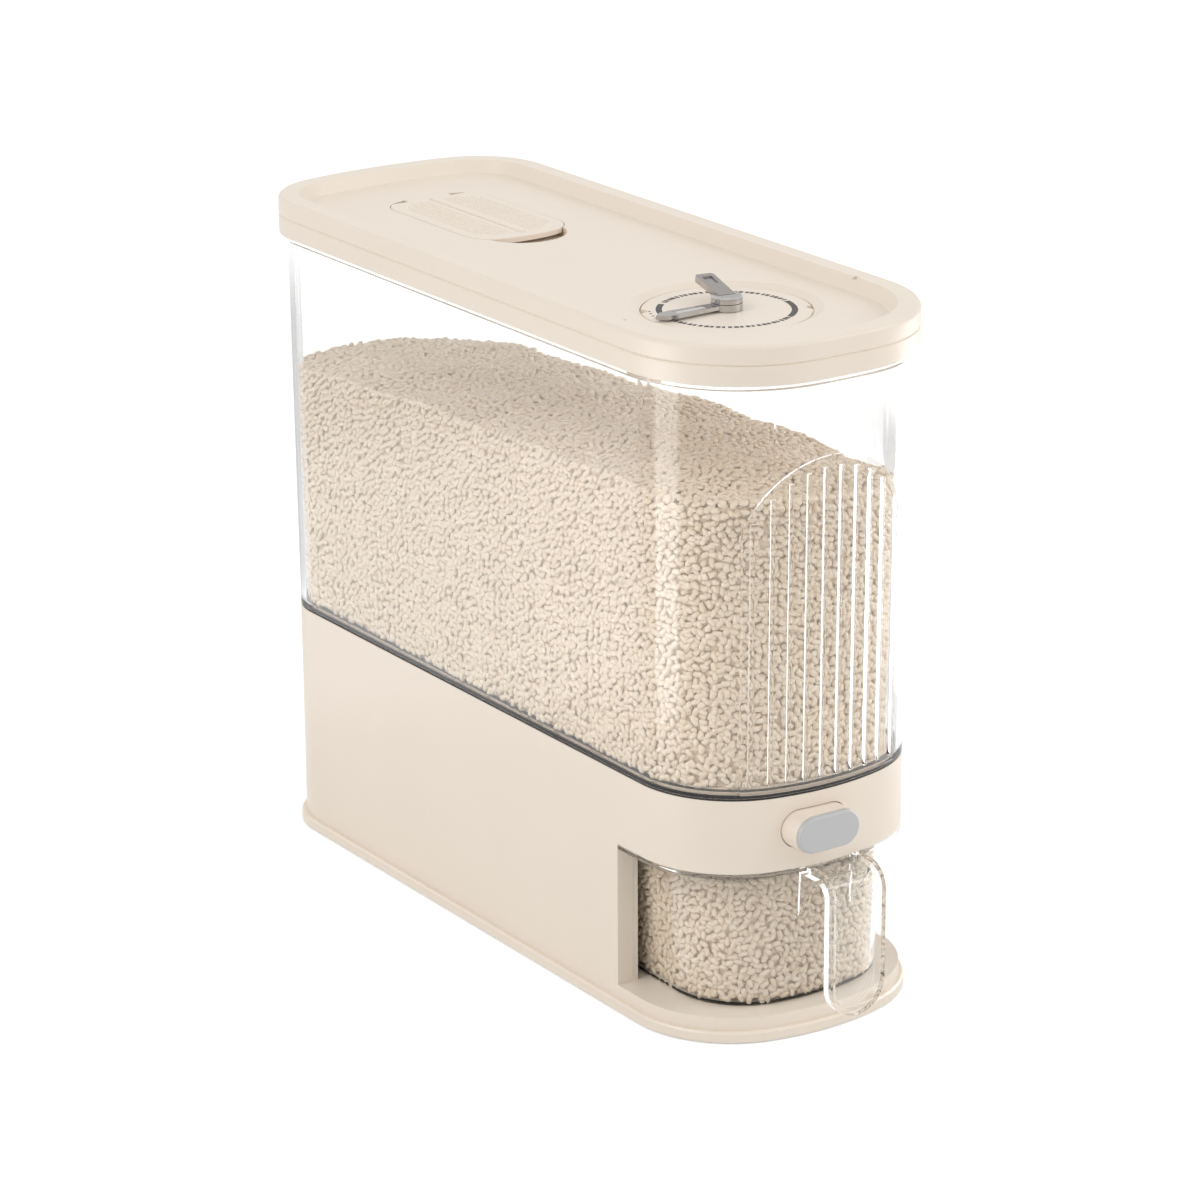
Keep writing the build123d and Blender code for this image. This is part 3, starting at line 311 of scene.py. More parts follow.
@dataclass(frozen=True)
class ClearFinish:
    """Polished clear plastic that lets lamps reach what it holds.

    Light caught inside it goes straight on after a few reflections, or thin rods of it turn black.

    Attributes:
        name: The material's name.
        tint: The colour that light keeps on its way through.
        lamp_tint: The same for light on its way from the lamps.
        roughness: How much the surface blurs.
        ior: Index of refraction.
        ripple_size: Size of the faint waves that moulding leaves, in mm.
        ripple_depth: Depth of those waves, in mm.
        reflections: After how many reflections light goes straight on.
    """

    name: str
    tint: Colour = (0.993, 0.995, 0.995)
    lamp_tint: Colour = (0.985, 0.985, 0.985)
    roughness: float = 0.012
    ior: float = 1.49
    ripple_size: float = 26.0
    ripple_depth: float = 0.06
    reflections: int = 3

    def material(self) -> bpy.types.Material:
        """Makes the finish on first use.

        Returns:
            The finish as a material.
        """
        if self.name in bpy.data.materials:
            return bpy.data.materials[self.name]
        material, sheet = new_material(self.name)
        output = sheet.add("ShaderNodeOutputMaterial")
        glass = sheet.add(
            "ShaderNodeBsdfPrincipled",
            {
                "Base Color": (*self.tint, 1.0),
                "Roughness": self.roughness,
                "IOR": self.ior,
                "Transmission Weight": 1.0,
            },
        )
        surface = sheet.add("ShaderNodeGroup", node_tree=surface_group())
        surface.inputs["Cloud Scale"].default_value = 1 / (self.ripple_size * MM)
        bump = sheet.add("ShaderNodeBump", {"Strength": 0.5, "Distance": self.ripple_depth * MM})
        sheet.join(surface.outputs["Clouds"], bump.inputs["Height"])
        sheet.join(bump.outputs["Normal"], glass.inputs["Normal"])
        lamp = sheet.add("ShaderNodeBsdfTransparent", {"Color": (*self.lamp_tint, 1.0)})
        path = sheet.add("ShaderNodeLightPath")
        caught = sheet.add("ShaderNodeMath", {1: self.reflections - 0.5}, operation="GREATER_THAN")
        straight = sheet.add("ShaderNodeMath", operation="MAXIMUM")
        either = sheet.add("ShaderNodeMixShader")
        sheet.join(path.outputs["Glossy Depth"], caught.inputs[0])
        sheet.join(path.outputs["Is Shadow Ray"], straight.inputs[0])
        sheet.join(caught.outputs[0], straight.inputs[1])
        sheet.join(straight.outputs[0], either.inputs[0])
        sheet.join(glass.outputs["BSDF"], either.inputs[1])
        sheet.join(lamp.outputs["BSDF"], either.inputs[2])
        sheet.join(either.outputs["Shader"], output.inputs["Surface"])
        return material


@dataclass(frozen=True)
class GrainFinish:
    """Polished white rice, a little different from grain to grain.

    Attributes:
        name: The material's name.
        pale: Colour of the palest grains.
        deep: Colour of the darkest grains.
        grain_size: Size of the patches of colour, about one grain, in mm.
        roughness: Roughness where a grain is smoothest.
        roughness_spread: How much rougher it gets where it is chalky.
        chalk_size: Size of the chalky specks, in mm.
        chalk_depth: Depth of those specks, in mm.
    """

    name: str
    pale: Colour
    deep: Colour
    grain_size: float = 4.0
    roughness: float = 0.3
    roughness_spread: float = 0.2
    chalk_size: float = 1.0
    chalk_depth: float = 0.05

    def material(self) -> bpy.types.Material:
        """Makes the finish on first use.

        Returns:
            The finish as a material.
        """
        if self.name in bpy.data.materials:
            return bpy.data.materials[self.name]
        material, sheet = new_material(self.name)
        output = sheet.add("ShaderNodeOutputMaterial")
        shader = sheet.add("ShaderNodeBsdfPrincipled", {"IOR": 1.45})
        place = sheet.add("ShaderNodeTexCoord")
        cells = sheet.add("ShaderNodeTexNoise", {"Scale": 1 / (self.grain_size * MM), "Detail": 1.0})
        chalk = sheet.add("ShaderNodeTexNoise", {"Scale": 1 / (self.chalk_size * MM), "Detail": 2.0})
        for texture in (cells, chalk):
            sheet.join(place.outputs["Object"], texture.inputs["Vector"])
        spread = sheet.add("ShaderNodeMapRange", {"From Min": 0.3, "From Max": 0.7})
        sheet.join(cells.outputs["Fac"], spread.inputs["Value"])
        colour = sheet.blend_colours(spread.outputs["Result"], self.pale, self.deep)
        sheet.join(colour, shader.inputs["Base Color"])
        high = self.roughness + self.roughness_spread
        rough = sheet.scaled(chalk.outputs["Fac"], self.roughness, high)
        sheet.join(rough, shader.inputs["Roughness"])
        bump = sheet.add("ShaderNodeBump", {"Strength": 0.4, "Distance": self.chalk_depth * MM})
        sheet.join(chalk.outputs["Fac"], bump.inputs["Height"])
        sheet.join(bump.outputs["Normal"], shader.inputs["Normal"])
        sheet.join(shader.outputs["BSDF"], output.inputs["Surface"])
        return material


SHELL = SolidFinish(
    "shell_finish", srgb(238, 226, 211), srgb(234, 221, 206), 0.34, 0.1, texture_depth=0.006
)
INNER = SolidFinish("inner_finish", srgb(240, 232, 219), srgb(233, 224, 209), 0.45, 0.1)
BUTTON_GREY = SolidFinish("button_finish", srgb(192, 192, 192), srgb(188, 188, 188), 0.4, 0.1)
PLATED = SolidFinish(
    "plated_finish",
    srgb(206, 204, 202),
    srgb(170, 168, 167),
    0.1,
    0.1,
    metallic=1.0,
    texture_size=0.8,
    texture_depth=0.002,
    cloud_size=4.0,
    # painted dark reflection: faces of the hands that look up are painted darker, the metal is the same
    # all over
    top=srgb(150, 146, 143),
)
INLAY = SolidFinish("inlay_finish", srgb(202, 198, 192), srgb(184, 180, 175), 0.3, 0.1, cloud_size=9.0)
INK = SolidFinish(
    "ink_finish", srgb(62, 60, 58), srgb(90, 87, 84), 0.5, 0.2, texture_size=0.3, cloud_size=1.2
)
RUBBER = SolidFinish(
    "seal_finish",
    srgb(28, 27, 26),
    srgb(40, 38, 36),
    0.6,
    0.2,
    texture_size=0.8,
    texture_depth=0.03,
    cloud_size=12.0,
)
FOOT_RUBBER = SolidFinish(
    "foot_finish",
    srgb(46, 45, 44),
    srgb(60, 58, 57),
    0.7,
    0.2,
    texture_size=0.7,
    texture_depth=0.05,
    cloud_size=10.0,
)
STEEL = SolidFinish(
    "steel_finish",
    srgb(188, 189, 190),
    srgb(160, 161, 163),
    0.2,
    0.2,
    metallic=1.0,
    texture_size=0.4,
    cloud_size=5.0,
)
CLEAR = ClearFinish("clear_finish")
RICE = GrainFinish("grain_finish", srgb(236, 221, 200), srgb(229, 210, 184))
RICE_DEPTH = GrainFinish("grain_depth_finish", srgb(232, 214, 190), srgb(226, 206, 181))


def dress(nodes: Iterable[str], finish: SolidFinish | ClearFinish | GrainFinish) -> None:
    """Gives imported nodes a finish.

    Args:
        nodes: The nodes' names.
        finish: The finish of all of them.
    """
    material = finish.material()
    for name in nodes:
        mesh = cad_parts[name].data
        mesh.materials.clear()
        mesh.materials.append(material)
        LOG.info("dressed %s with %s", name, material.name)


# ---------------------------------------------------------------- meshes


def finished_piece(
    name: str,
    shape: bmesh.types.BMesh,
    finish: SolidFinish | GrainFinish,
    body: Body,
    smooth: bool = True,
) -> bpy.types.Object:
    """Turns a bmesh in millimetres into an object of the scene that rides on a body.

    Args:
        name: The piece's name.
        shape: Its shape, which is used up.
        finish: Its finish.
        body: The body that carries it.
        smooth: Whether its faces are shaded smooth.

    Returns:
        The new object.
    """
    mesh = bpy.data.meshes.new(name)
    bmesh.ops.scale(shape, vec=(MM, MM, MM), verts=shape.verts)
    for face in shape.faces:
        face.smooth = smooth
    shape.to_mesh(mesh)
    shape.free()
    mesh.materials.append(finish.material())
    piece = bpy.data.objects.new(name, mesh)
    bpy.context.scene.collection.objects.link(piece)
    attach(piece, body.value)
    LOG.info("made %s with %d faces", name, len(mesh.polygons))
    return piece


@dataclass(frozen=True)
class Outline:
    """Plan shape with straight sides, where each end is a shallow bow between two corner arcs.

    Attributes:
        half_width: From the centre line to a side.
        front: From the centre to the front apex.
        rear: From the centre to the rear apex.
        front_corner: Radius of the front corners.
        front_bow: Radius of the front bow.
        rear_corner: Radius of the rear corners.
        rear_bow: Radius of the rear bow.
    """

    half_width: float
    front: float
    rear: float
    front_corner: float
    front_bow: float
    rear_corner: float
    rear_bow: float

    def grown(self, step: float) -> "Outline":
        """The same shape moved outwards by step all round, or inwards where step is negative."""
        return Outline(*(size + step for size in astuple(self)))

    def reach(self, x: float, front: bool) -> float:
        """How far the outline reaches along Y at a distance x from the centre line.

        Args:
            x: The distance from the centre line.
            front: True for the reach towards -Y, False for the reach towards +Y.

        Returns:
            The reach from the centre, as a positive number.
        """
        corner = self.front_corner if front else self.rear_corner
        bow = self.front_bow if front else self.rear_bow
        apex = self.front if front else self.rear
        centre_x = self.half_width - corner
        centre_y = apex - bow + math.sqrt((bow - corner) ** 2 - centre_x**2)
        bow_end = bow * centre_x / (bow - corner)
        if abs(x) <= bow_end:
            return apex - bow + math.sqrt(bow**2 - x**2)
        across = min(abs(x) - centre_x, corner)
        return centre_y + math.sqrt(max(corner**2 - across**2, 0.0))


BODY = Outline(
    half_width=70.6,
    front=196.8,
    rear=196.8,
    front_corner=52.0,
    front_bow=124.0,
    rear_corner=36.0,
    rear_bow=387.0,
)
CUP_TOP = Outline(
    half_width=56.0,
    front=191.0,
    rear=-62.0,
    front_corner=40.0,
    front_bow=127.0,
    rear_corner=14.0,
    rear_bow=300.0,
)
BODY_Y = 6.4          # the body's centre behind the frame's origin
SEAM_Z = 123.4        # bottom of the hopper


# ---------------------------------------------------------------- rice


@dataclass(frozen=True)
class GrainShape:
    """One rice grain, with few faces because it is repeated thousands of times.

    Attributes:
        length: Its length.
        width: Its width.
        thickness: Its thickness.
        hook: How far its tips bend to one side.
        taper: How much narrower than its middle it is at one end, and wider at the other.
        bluntness: How blunt its ends are, from 0 for round to 1 for square.
        tip: Share of its full girth below which a point counts as its tip.
    """

    length: float = 4.9
    width: float = 3.3
    thickness: float = 2.4
    hook: float = 0.15
    taper: float = 0.12
    bluntness: float = 0.3
    tip: float = 0.01

    def source(self) -> bpy.types.Object:
        """Makes the grain that is repeated.

        Returns:
            The grain as an object outside the scene, in metres, lying along X.
        """
        shape = bmesh.new()
        bmesh.ops.create_uvsphere(shape, u_segments=6, v_segments=5, radius=0.5)
        bmesh.ops.rotate(shape, matrix=Matrix.Rotation(math.pi / 2, 3, "Y"), verts=shape.verts)
        bmesh.ops.scale(shape, vec=(self.length, self.width, self.thickness), verts=shape.verts)
        for vert in shape.verts:
            along = 2 * vert.co.x / self.length
            around = math.sqrt(max(1 - along**2, 0.0))
            plump = around**-self.bluntness if around > self.tip else 1.0
            vert.co.x = math.copysign(abs(along) ** (1 - self.bluntness), along) * self.length / 2
            vert.co.y = vert.co.y * plump * (1 - self.taper * along) + self.hook * along**2
            vert.co.z *= plump
        bmesh.ops.scale(shape, vec=(MM, MM, MM), verts=shape.verts)
        for face in shape.faces:
            face.smooth = True
        mesh = bpy.data.meshes.new("grain_shape")
        shape.to_mesh(mesh)
        shape.free()
        return bpy.data.objects.new("grain_shape", mesh)


@dataclass
class GrainScatter:
    """Lays grains over a skin, flat on it and turned at random.

    Attributes:
        seed: Picks the arrangement.
        spacing: Least distance between two grains' middles, in mm.
        tries: Spots tried in a square as wide as the spacing, so that the skin comes out full.
        lean: Most that a grain leans out of the skin, in degrees.
        depth: Most that a grain lies below the skin, in mm.
        smallest: Length, width and thickness of the smallest grains, where 1 is the source's.
        largest: The same for the largest grains.
    """

    seed: int
    spacing: float = 3.0
    tries: float = 4.0
    lean: float = 8.0
    depth: float = 0.4
    smallest: tuple[float, float, float] = (0.86, 0.9, 0.9)
    largest: tuple[float, float, float] = (1.08, 1.08, 1.05)

    def tree(self, grain: bpy.types.Object) -> bpy.types.NodeTree:
        """The geometry nodes that do it.

        Args:
            grain: The object that is repeated.

        Returns:
            The node tree, for a Nodes modifier on the skin.
        """
        tree = bpy.data.node_groups.new("grain_scatter", "GeometryNodeTree")
        tree.interface.new_socket("Geometry", in_out="INPUT", socket_type="NodeSocketGeometry")
        tree.interface.new_socket("Geometry", in_out="OUTPUT", socket_type="NodeSocketGeometry")
        sheet = ShaderSheet(tree)
        inlet = sheet.add("NodeGroupInput")
        outlet = sheet.add("NodeGroupOutput")
        spacing = self.spacing * MM
        spots = sheet.add(
            "GeometryNodeDistributePointsOnFaces",
            {"Distance Min": spacing, "Density Max": self.tries / spacing**2, "Seed": self.seed},
            distribute_method="POISSON",
        )
        lean = math.radians(self.lean)
        turn = sheet.add("FunctionNodeRandomValue", {"Seed": self.seed + 1}, data_type="FLOAT_VECTOR")
        turn.inputs[0].default_value = (-lean, -lean, 0.0)
        turn.inputs[1].default_value = (lean, lean, 2 * math.pi)
        size = sheet.add("FunctionNodeRandomValue", {"Seed": self.seed + 2}, data_type="FLOAT_VECTOR")
        size.inputs[0].default_value = self.smallest
        size.inputs[1].default_value = self.largest
        sink = sheet.add("FunctionNodeRandomValue", {"Seed": self.seed + 3}, data_type="FLOAT")
        sink.inputs[2].default_value = -self.depth * MM
        sink.inputs[3].default_value = 0.0
        inwards = sheet.add("ShaderNodeVectorMath", operation="SCALE")
        moved = sheet.add("GeometryNodeSetPosition")
        euler = sheet.add("FunctionNodeEulerToRotation")
        facing = sheet.add("FunctionNodeRotateRotation", rotation_space="LOCAL")
        source = sheet.add("GeometryNodeObjectInfo", {"Object": grain})
        stamp = sheet.add("GeometryNodeInstanceOnPoints")
        real = sheet.add("GeometryNodeRealizeInstances")
        sheet.join(inlet.outputs[0], spots.inputs["Mesh"])
        sheet.join(turn.outputs[0], euler.inputs[0])
        sheet.join(spots.outputs["Rotation"], facing.inputs[0])
        sheet.join(euler.outputs[0], facing.inputs[1])
        sheet.join(spots.outputs["Normal"], inwards.inputs[0])
        sheet.join(sink.outputs[1], inwards.inputs["Scale"])
        sheet.join(inwards.outputs[0], moved.inputs["Offset"])
        sheet.join(spots.outputs["Points"], moved.inputs["Geometry"])
        sheet.join(moved.outputs[0], stamp.inputs["Points"])
        sheet.join(source.outputs["Geometry"], stamp.inputs["Instance"])
        sheet.join(facing.outputs[0], stamp.inputs["Rotation"])
        sheet.join(size.outputs[0], stamp.inputs["Scale"])
        sheet.join(stamp.outputs["Instances"], real.inputs["Geometry"])
        sheet.join(real.outputs["Geometry"], outlet.inputs[0])
        return tree

    def lay(
        self,
        name: str,
        skin: bmesh.types.BMesh,
        grain: bpy.types.Object,
        finish: GrainFinish,
        body: Body,
    ) -> bpy.types.Object:
        """Covers a skin with grains.

        Args:
            name: The piece's name.
            skin: The surface in millimetres, which is used up.
            grain: The object that is repeated.
            finish: The grains' finish.
            body: The body that carries them.

        Returns:
            The grains as one object.
        """
        piece = finished_piece(name, skin, finish, body)
        scatter = piece.modifiers.new("scatter", "NODES")
        scatter.node_group = self.tree(grain)
        graph = bpy.context.evaluated_depsgraph_get()
        grains = bpy.data.meshes.new_from_object(piece.evaluated_get(graph))
        piece.modifiers.clear()
        piece.data = grains
        grains.materials.clear()
        grains.materials.append(finish.material())
        LOG.info("laid %s with %d faces", name, len(grains.polygons))
        return piece


@dataclass
class GrainHeap:
    """A body of rice inside a container: a closed core with two layers of grains over it.

    Attributes:
        name: Start of its pieces' names.
        body: The body that carries it.
        outline: The container's inner shape at the height of the heap.
        bottom_step: How much narrower the container is at the heap's bottom.
        bottom: Height of the heap's bottom.
        surface: Gives the height of the heap's top at (x, y) from the outline's centre.
        cuts: Y of the planes that divide the grains into pieces.
        right_gap: How much further from the wall the heap lies on the +X side.
        core_inset: How far inside the container's wall the core lies.
        layer_insets: The same for each layer of grains.
        columns: Grid columns across the heap.
        rows: Grid rows along the heap.
        relief: How many times as deep as at the sides the layers lie at the top.
        first_seed: The seed of the first piece of grains.
        part_seed: What each further piece of a layer adds to it.
        layer_seed: What each further layer adds to it.
    """

    name: str
    body: Body
    outline: Outline
    bottom_step: float
    bottom: float
    surface: Callable[[float, float], float]
    cuts: tuple[float, ...]
    right_gap: float = 0.0
    core_inset: float = 3.2
    layer_insets: tuple[float, ...] = (1.8, 2.5)
    columns: int = 28
    rows: int = 60
    relief: float = 1.5
    first_seed: int = 11
    part_seed: int = 7
    layer_seed: int = 101

    def skin(self, inset: float, closed: bool) -> bmesh.types.BMesh:
        """The heap's surface.

        Args:
            inset: How far inside the container's wall it lies.
            closed: Whether it gets a bottom.

        Returns:
            The surface in millimetres, with its faces outwards.
        """
        shape = bmesh.new()
        bmesh.ops.create_grid(shape, x_segments=self.columns, y_segments=self.rows, size=1.0)
        outline = self.outline.grown(-inset)
        for vert in shape.verts:
            x = outline.half_width * math.sin(vert.co.x * math.pi / 2)
            front, rear = -outline.reach(x, True), outline.reach(x, False)
            y = front + (rear - front) * (vert.co.y + 1) / 2
            placed = x - self.right_gap * max(0.0, x / outline.half_width)
            vert.co = (placed, y, self.surface(x, y) - inset * self.relief)
        rim = [edge for edge in shape.edges if edge.is_boundary]
        walls = bmesh.ops.extrude_edge_only(shape, edges=rim)["geom"]
        middle_y = (outline.rear - outline.front) / 2
        narrow = 1 - self.bottom_step / outline.half_width
        for vert in (item for item in walls if isinstance(item, bmesh.types.BMVert)):
            vert.co = (vert.co.x * narrow, middle_y + (vert.co.y - middle_y) * narrow, self.bottom)
        bmesh.ops.recalc_face_normals(shape, faces=shape.faces)
        if sum(face.normal.z for face in shape.faces) < 0:
            bmesh.ops.reverse_faces(shape, faces=shape.faces)
        if closed:
            bmesh.ops.holes_fill(shape, edges=[edge for edge in shape.edges if edge.is_boundary])
            bmesh.ops.recalc_face_normals(shape, faces=shape.faces)
        bmesh.ops.translate(shape, vec=(0, BODY_Y, 0), verts=shape.verts)
        return shape

    def build(self, grain: bpy.types.Object) -> None:
        """Makes the core and the grains.

        Args:
            grain: The object that is repeated.
        """
        core = self.skin(self.core_inset, True)
        finished_piece(f"{self.name}_core", core, RICE_DEPTH, self.body, smooth=False)
        limits = (-math.inf, *self.cuts, math.inf)
        for layer, inset in enumerate(self.layer_insets):
            for index, (low, high) in enumerate(zip(limits, limits[1:])):
                band = self.skin(inset, False)
                for edge, direction in ((low, -1), (high, 1)):
                    if math.isfinite(edge):
                        bmesh.ops.bisect_plane(
                            band,
                            geom=[*band.verts, *band.edges, *band.faces],
                            plane_co=(0, BODY_Y + edge, 0),
                            plane_no=(0, direction, 0),
                            clear_outer=True,
                        )
                seed = self.first_seed + self.part_seed * index + self.layer_seed * layer
                scatter = GrainScatter(seed)
                name = f"{self.name}_layer_{layer + 1}_part_{index + 1}"
                scatter.lay(name, band, grain, RICE, self.body)


@dataclass(frozen=True)
class Lumps:
    """The uneven top of poured rice: broad lumps with finer ones over them.

    Attributes:
        broad: Height of the broad lumps.
        broad_x: Their length across the object, as its wave's length divided by two pi.
        broad_y: The same along the object.
        shift: Where their wave across the object starts, in radians.
        fine: Height of the finer lumps.
        fine_x: Their length across the object, given in the same way.
        fine_y: The same along the object.
    """

    broad: float
    broad_x: float
    broad_y: float
    shift: float
    fine: float
    fine_x: float
    fine_y: float

    def height(self, x: float, y: float) -> float:
        """How far the lumps raise or lower the top at (x, y)."""
        broad = self.broad * math.sin(x / self.broad_x + self.shift) * math.sin(y / self.broad_y)
        return broad + self.fine * math.sin(y / self.fine_y + x / self.fine_x)


# ---------------------------------------------------------------- sub-assemblies


@dataclass
class ReturnSpring:
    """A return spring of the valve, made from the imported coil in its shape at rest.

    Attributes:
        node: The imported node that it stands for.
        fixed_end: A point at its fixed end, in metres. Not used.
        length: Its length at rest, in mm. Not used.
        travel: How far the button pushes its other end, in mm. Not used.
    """

    node: str
    fixed_end: Point
    length: float = 20.0
    travel: float = 10.5

    def build(self) -> bpy.types.Object:
        """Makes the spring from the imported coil.

        Returns:
            The new piece.
        """
        shape = bmesh.new()
        shape.from_mesh(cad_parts[self.node].data)
        bmesh.ops.remove_doubles(shape, verts=shape.verts, dist=WELD)
        bmesh.ops.scale(shape, vec=(1 / MM, 1 / MM, 1 / MM), verts=shape.verts)
        coil = finished_piece(f"{self.node}_coil", shape, STEEL, Body.BASE)
        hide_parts(self.node)
        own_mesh(coil)
        return coil


@dataclass
class Base:
    """The moulded base with its valve.

    Attributes:
        shells: Nodes in the beige shell finish.
        inner: Nodes in the inner finish.
        steel: Nodes of bare steel.
        springs: The valve's two springs.
    """

    shells: tuple[str, ...] = ("plinth", "rear_housing", "front_band", "drawer_bay", "button_shell")
    inner: tuple[str, ...] = ("funnel", "gate_frame", "shutter", "push_link")
    steel: tuple[str, ...] = (
        "plinth_screws",
        "band_screws",
        "gate_screws",
        "return_spring_left",
        "return_spring_right",
    )
    springs: tuple[ReturnSpring, ...] = (
        ReturnSpring("return_spring_left", (-0.02, -0.0856, 0.0913)),
        ReturnSpring("return_spring_right", (0.02, -0.0856, 0.0913)),
    )

    def build(self) -> None:
        """Dresses the base's nodes and makes its springs."""
        dress(self.shells, SHELL)
        dress(self.inner, INNER)
        dress(self.steel, STEEL)
        dress(("button_face",), BUTTON_GREY)
        dress(("rubber_feet",), FOOT_RUBBER)
        dress(("hopper_seal",), RUBBER)
        for spring in self.springs:
            spring.build()


@dataclass
class Hopper:
    """The clear hopper and the rice that it holds.

    Attributes:
        wall: Thickness of its wall.
        flare: How much wider it is at the height of the rice than at its bottom.
        front_height: Height of the rice at the front of the left-hand side.
        rear_drop: How much lower the rice lies at the rear.
        rear_curve: How late that drop sets in, where 1 is an even slope.
        side_drop: How much lower it lies on the right than on the left.
        crown: How much higher it lies in the middle.
        lumps: The lumps of its top.
        right_gap: How much further from the wall it lies on the right.
        cut_pitch: Distance between the planes that divide the grains into pieces.
        cuts_each_way: Count of those planes on each side of the middle one.
        foot: Height of the hopper's thick foot, which the grains stay above.
        foot_inset: How far inside the hopper's outer face the rice within the foot lies.
        seam_gap: How far above the hopper's bottom that rice starts.
    """

    wall: float = 2.6
    flare: float = 1.0
    front_height: float = 269.0
    rear_drop: float = 16.0
    rear_curve: float = 2.2
    side_drop: float = 10.0
    crown: float = 4.0
    lumps: Lumps = Lumps(
        broad=1.2, broad_x=17.0, broad_y=29.0, shift=0.6, fine=0.9, fine_x=31.0, fine_y=13.0
    )
    right_gap: float = 5.0
    cut_pitch: float = 55.0
    cuts_each_way: int = 3
    foot: float = 3.8
    foot_inset: float = 6.2
    seam_gap: float = 0.3

    def rice_top(self, x: float, y: float) -> float:
        """Height of the rice.

        Args:
            x: Distance from the centre line.
            y: Distance behind the body's centre.

        Returns:
            The height above the floor.
        """
        back = max(0.0, (y + BODY.front) / (BODY.front + BODY.rear)) ** self.rear_curve
        across = x / BODY.half_width
        lumps = self.lumps.height(x, y)
        tilt = self.side_drop * (1 + across) / 2
        return self.front_height - self.rear_drop * back - tilt + self.crown * (1 - across**2) + lumps

    def foot_top(self, _x: float, _y: float) -> float:
        """Height of the top of the rice within the foot, which is level."""
        return SEAM_Z + self.foot

    def build(self, grain: bpy.types.Object) -> None:
        """Dresses the hopper and fills it.

        Args:
            grain: The object that is repeated as rice.
        """
        dress(("hopper",), CLEAR)
        steps = range(-self.cuts_each_way, self.cuts_each_way + 1)
        GrainHeap(
            "stored_rice",
            Body.BASE,
            BODY.grown(self.flare - self.wall),
            self.flare,
            SEAM_Z + self.foot,
            self.rice_top,
            cuts=tuple(self.cut_pitch * step for step in steps),
            right_gap=self.right_gap,
        ).build(grain)
        within = GrainHeap(
            "foot_rice",
            Body.BASE,
            BODY.grown(-self.foot_inset),
            0.0,
            SEAM_Z + self.seam_gap,
            self.foot_top,
            cuts=(),
        )
        finished_piece("foot_rice_core", within.skin(0.0, True), RICE_DEPTH, Body.BASE, smooth=False)


@dataclass
class MeasuringCup:
    """The clear cup and its rice.

    Attributes:
        wall: Thickness of its wall.
        gap: Gap between its wall and the rice.
        taper: How much narrower it is at its floor.
        rice_height: Height of the rice at its edge.
        crown: How much higher it lies in the middle.
        lumps: The lumps of its top.
        floor: Height of the cup's inner floor.
        cut_y: Y of the plane that divides the grains, from the body's centre.
        rows: Grid rows along the heap.
    """

    wall: float = 2.0
    gap: float = 0.2
    taper: float = 1.9
    rice_height: float = 77.0
    crown: float = 3.5
    lumps: Lumps = Lumps(
        broad=0.9, broad_x=11.0, broad_y=14.0, shift=0.4, fine=0.6, fine_x=15.0, fine_y=8.0
    )
    floor: float = 16.2
    cut_y: float = -126.5
    rows: int = 30

    def rice_top(self, x: float, y: float) -> float:
        """Height of the cup's rice at (x, y) from the body's centre."""
        lumps = self.lumps.height(x, y)
        return self.rice_height + self.crown * (1 - (x / CUP_TOP.half_width) ** 2) + lumps

    def build(self, grain: bpy.types.Object) -> None:
        """Dresses the cup and fills it.

        Args:
            grain: The object that is repeated as rice.
        """
        dress(("measuring_cup",), CLEAR)
        GrainHeap(
            "cup_rice",
            Body.CUP,
            CUP_TOP.grown(-self.wall - self.gap),
            self.taper,
            self.floor,
            self.rice_top,
            cuts=(self.cut_y,),
            rows=self.rows,
        ).build(grain)


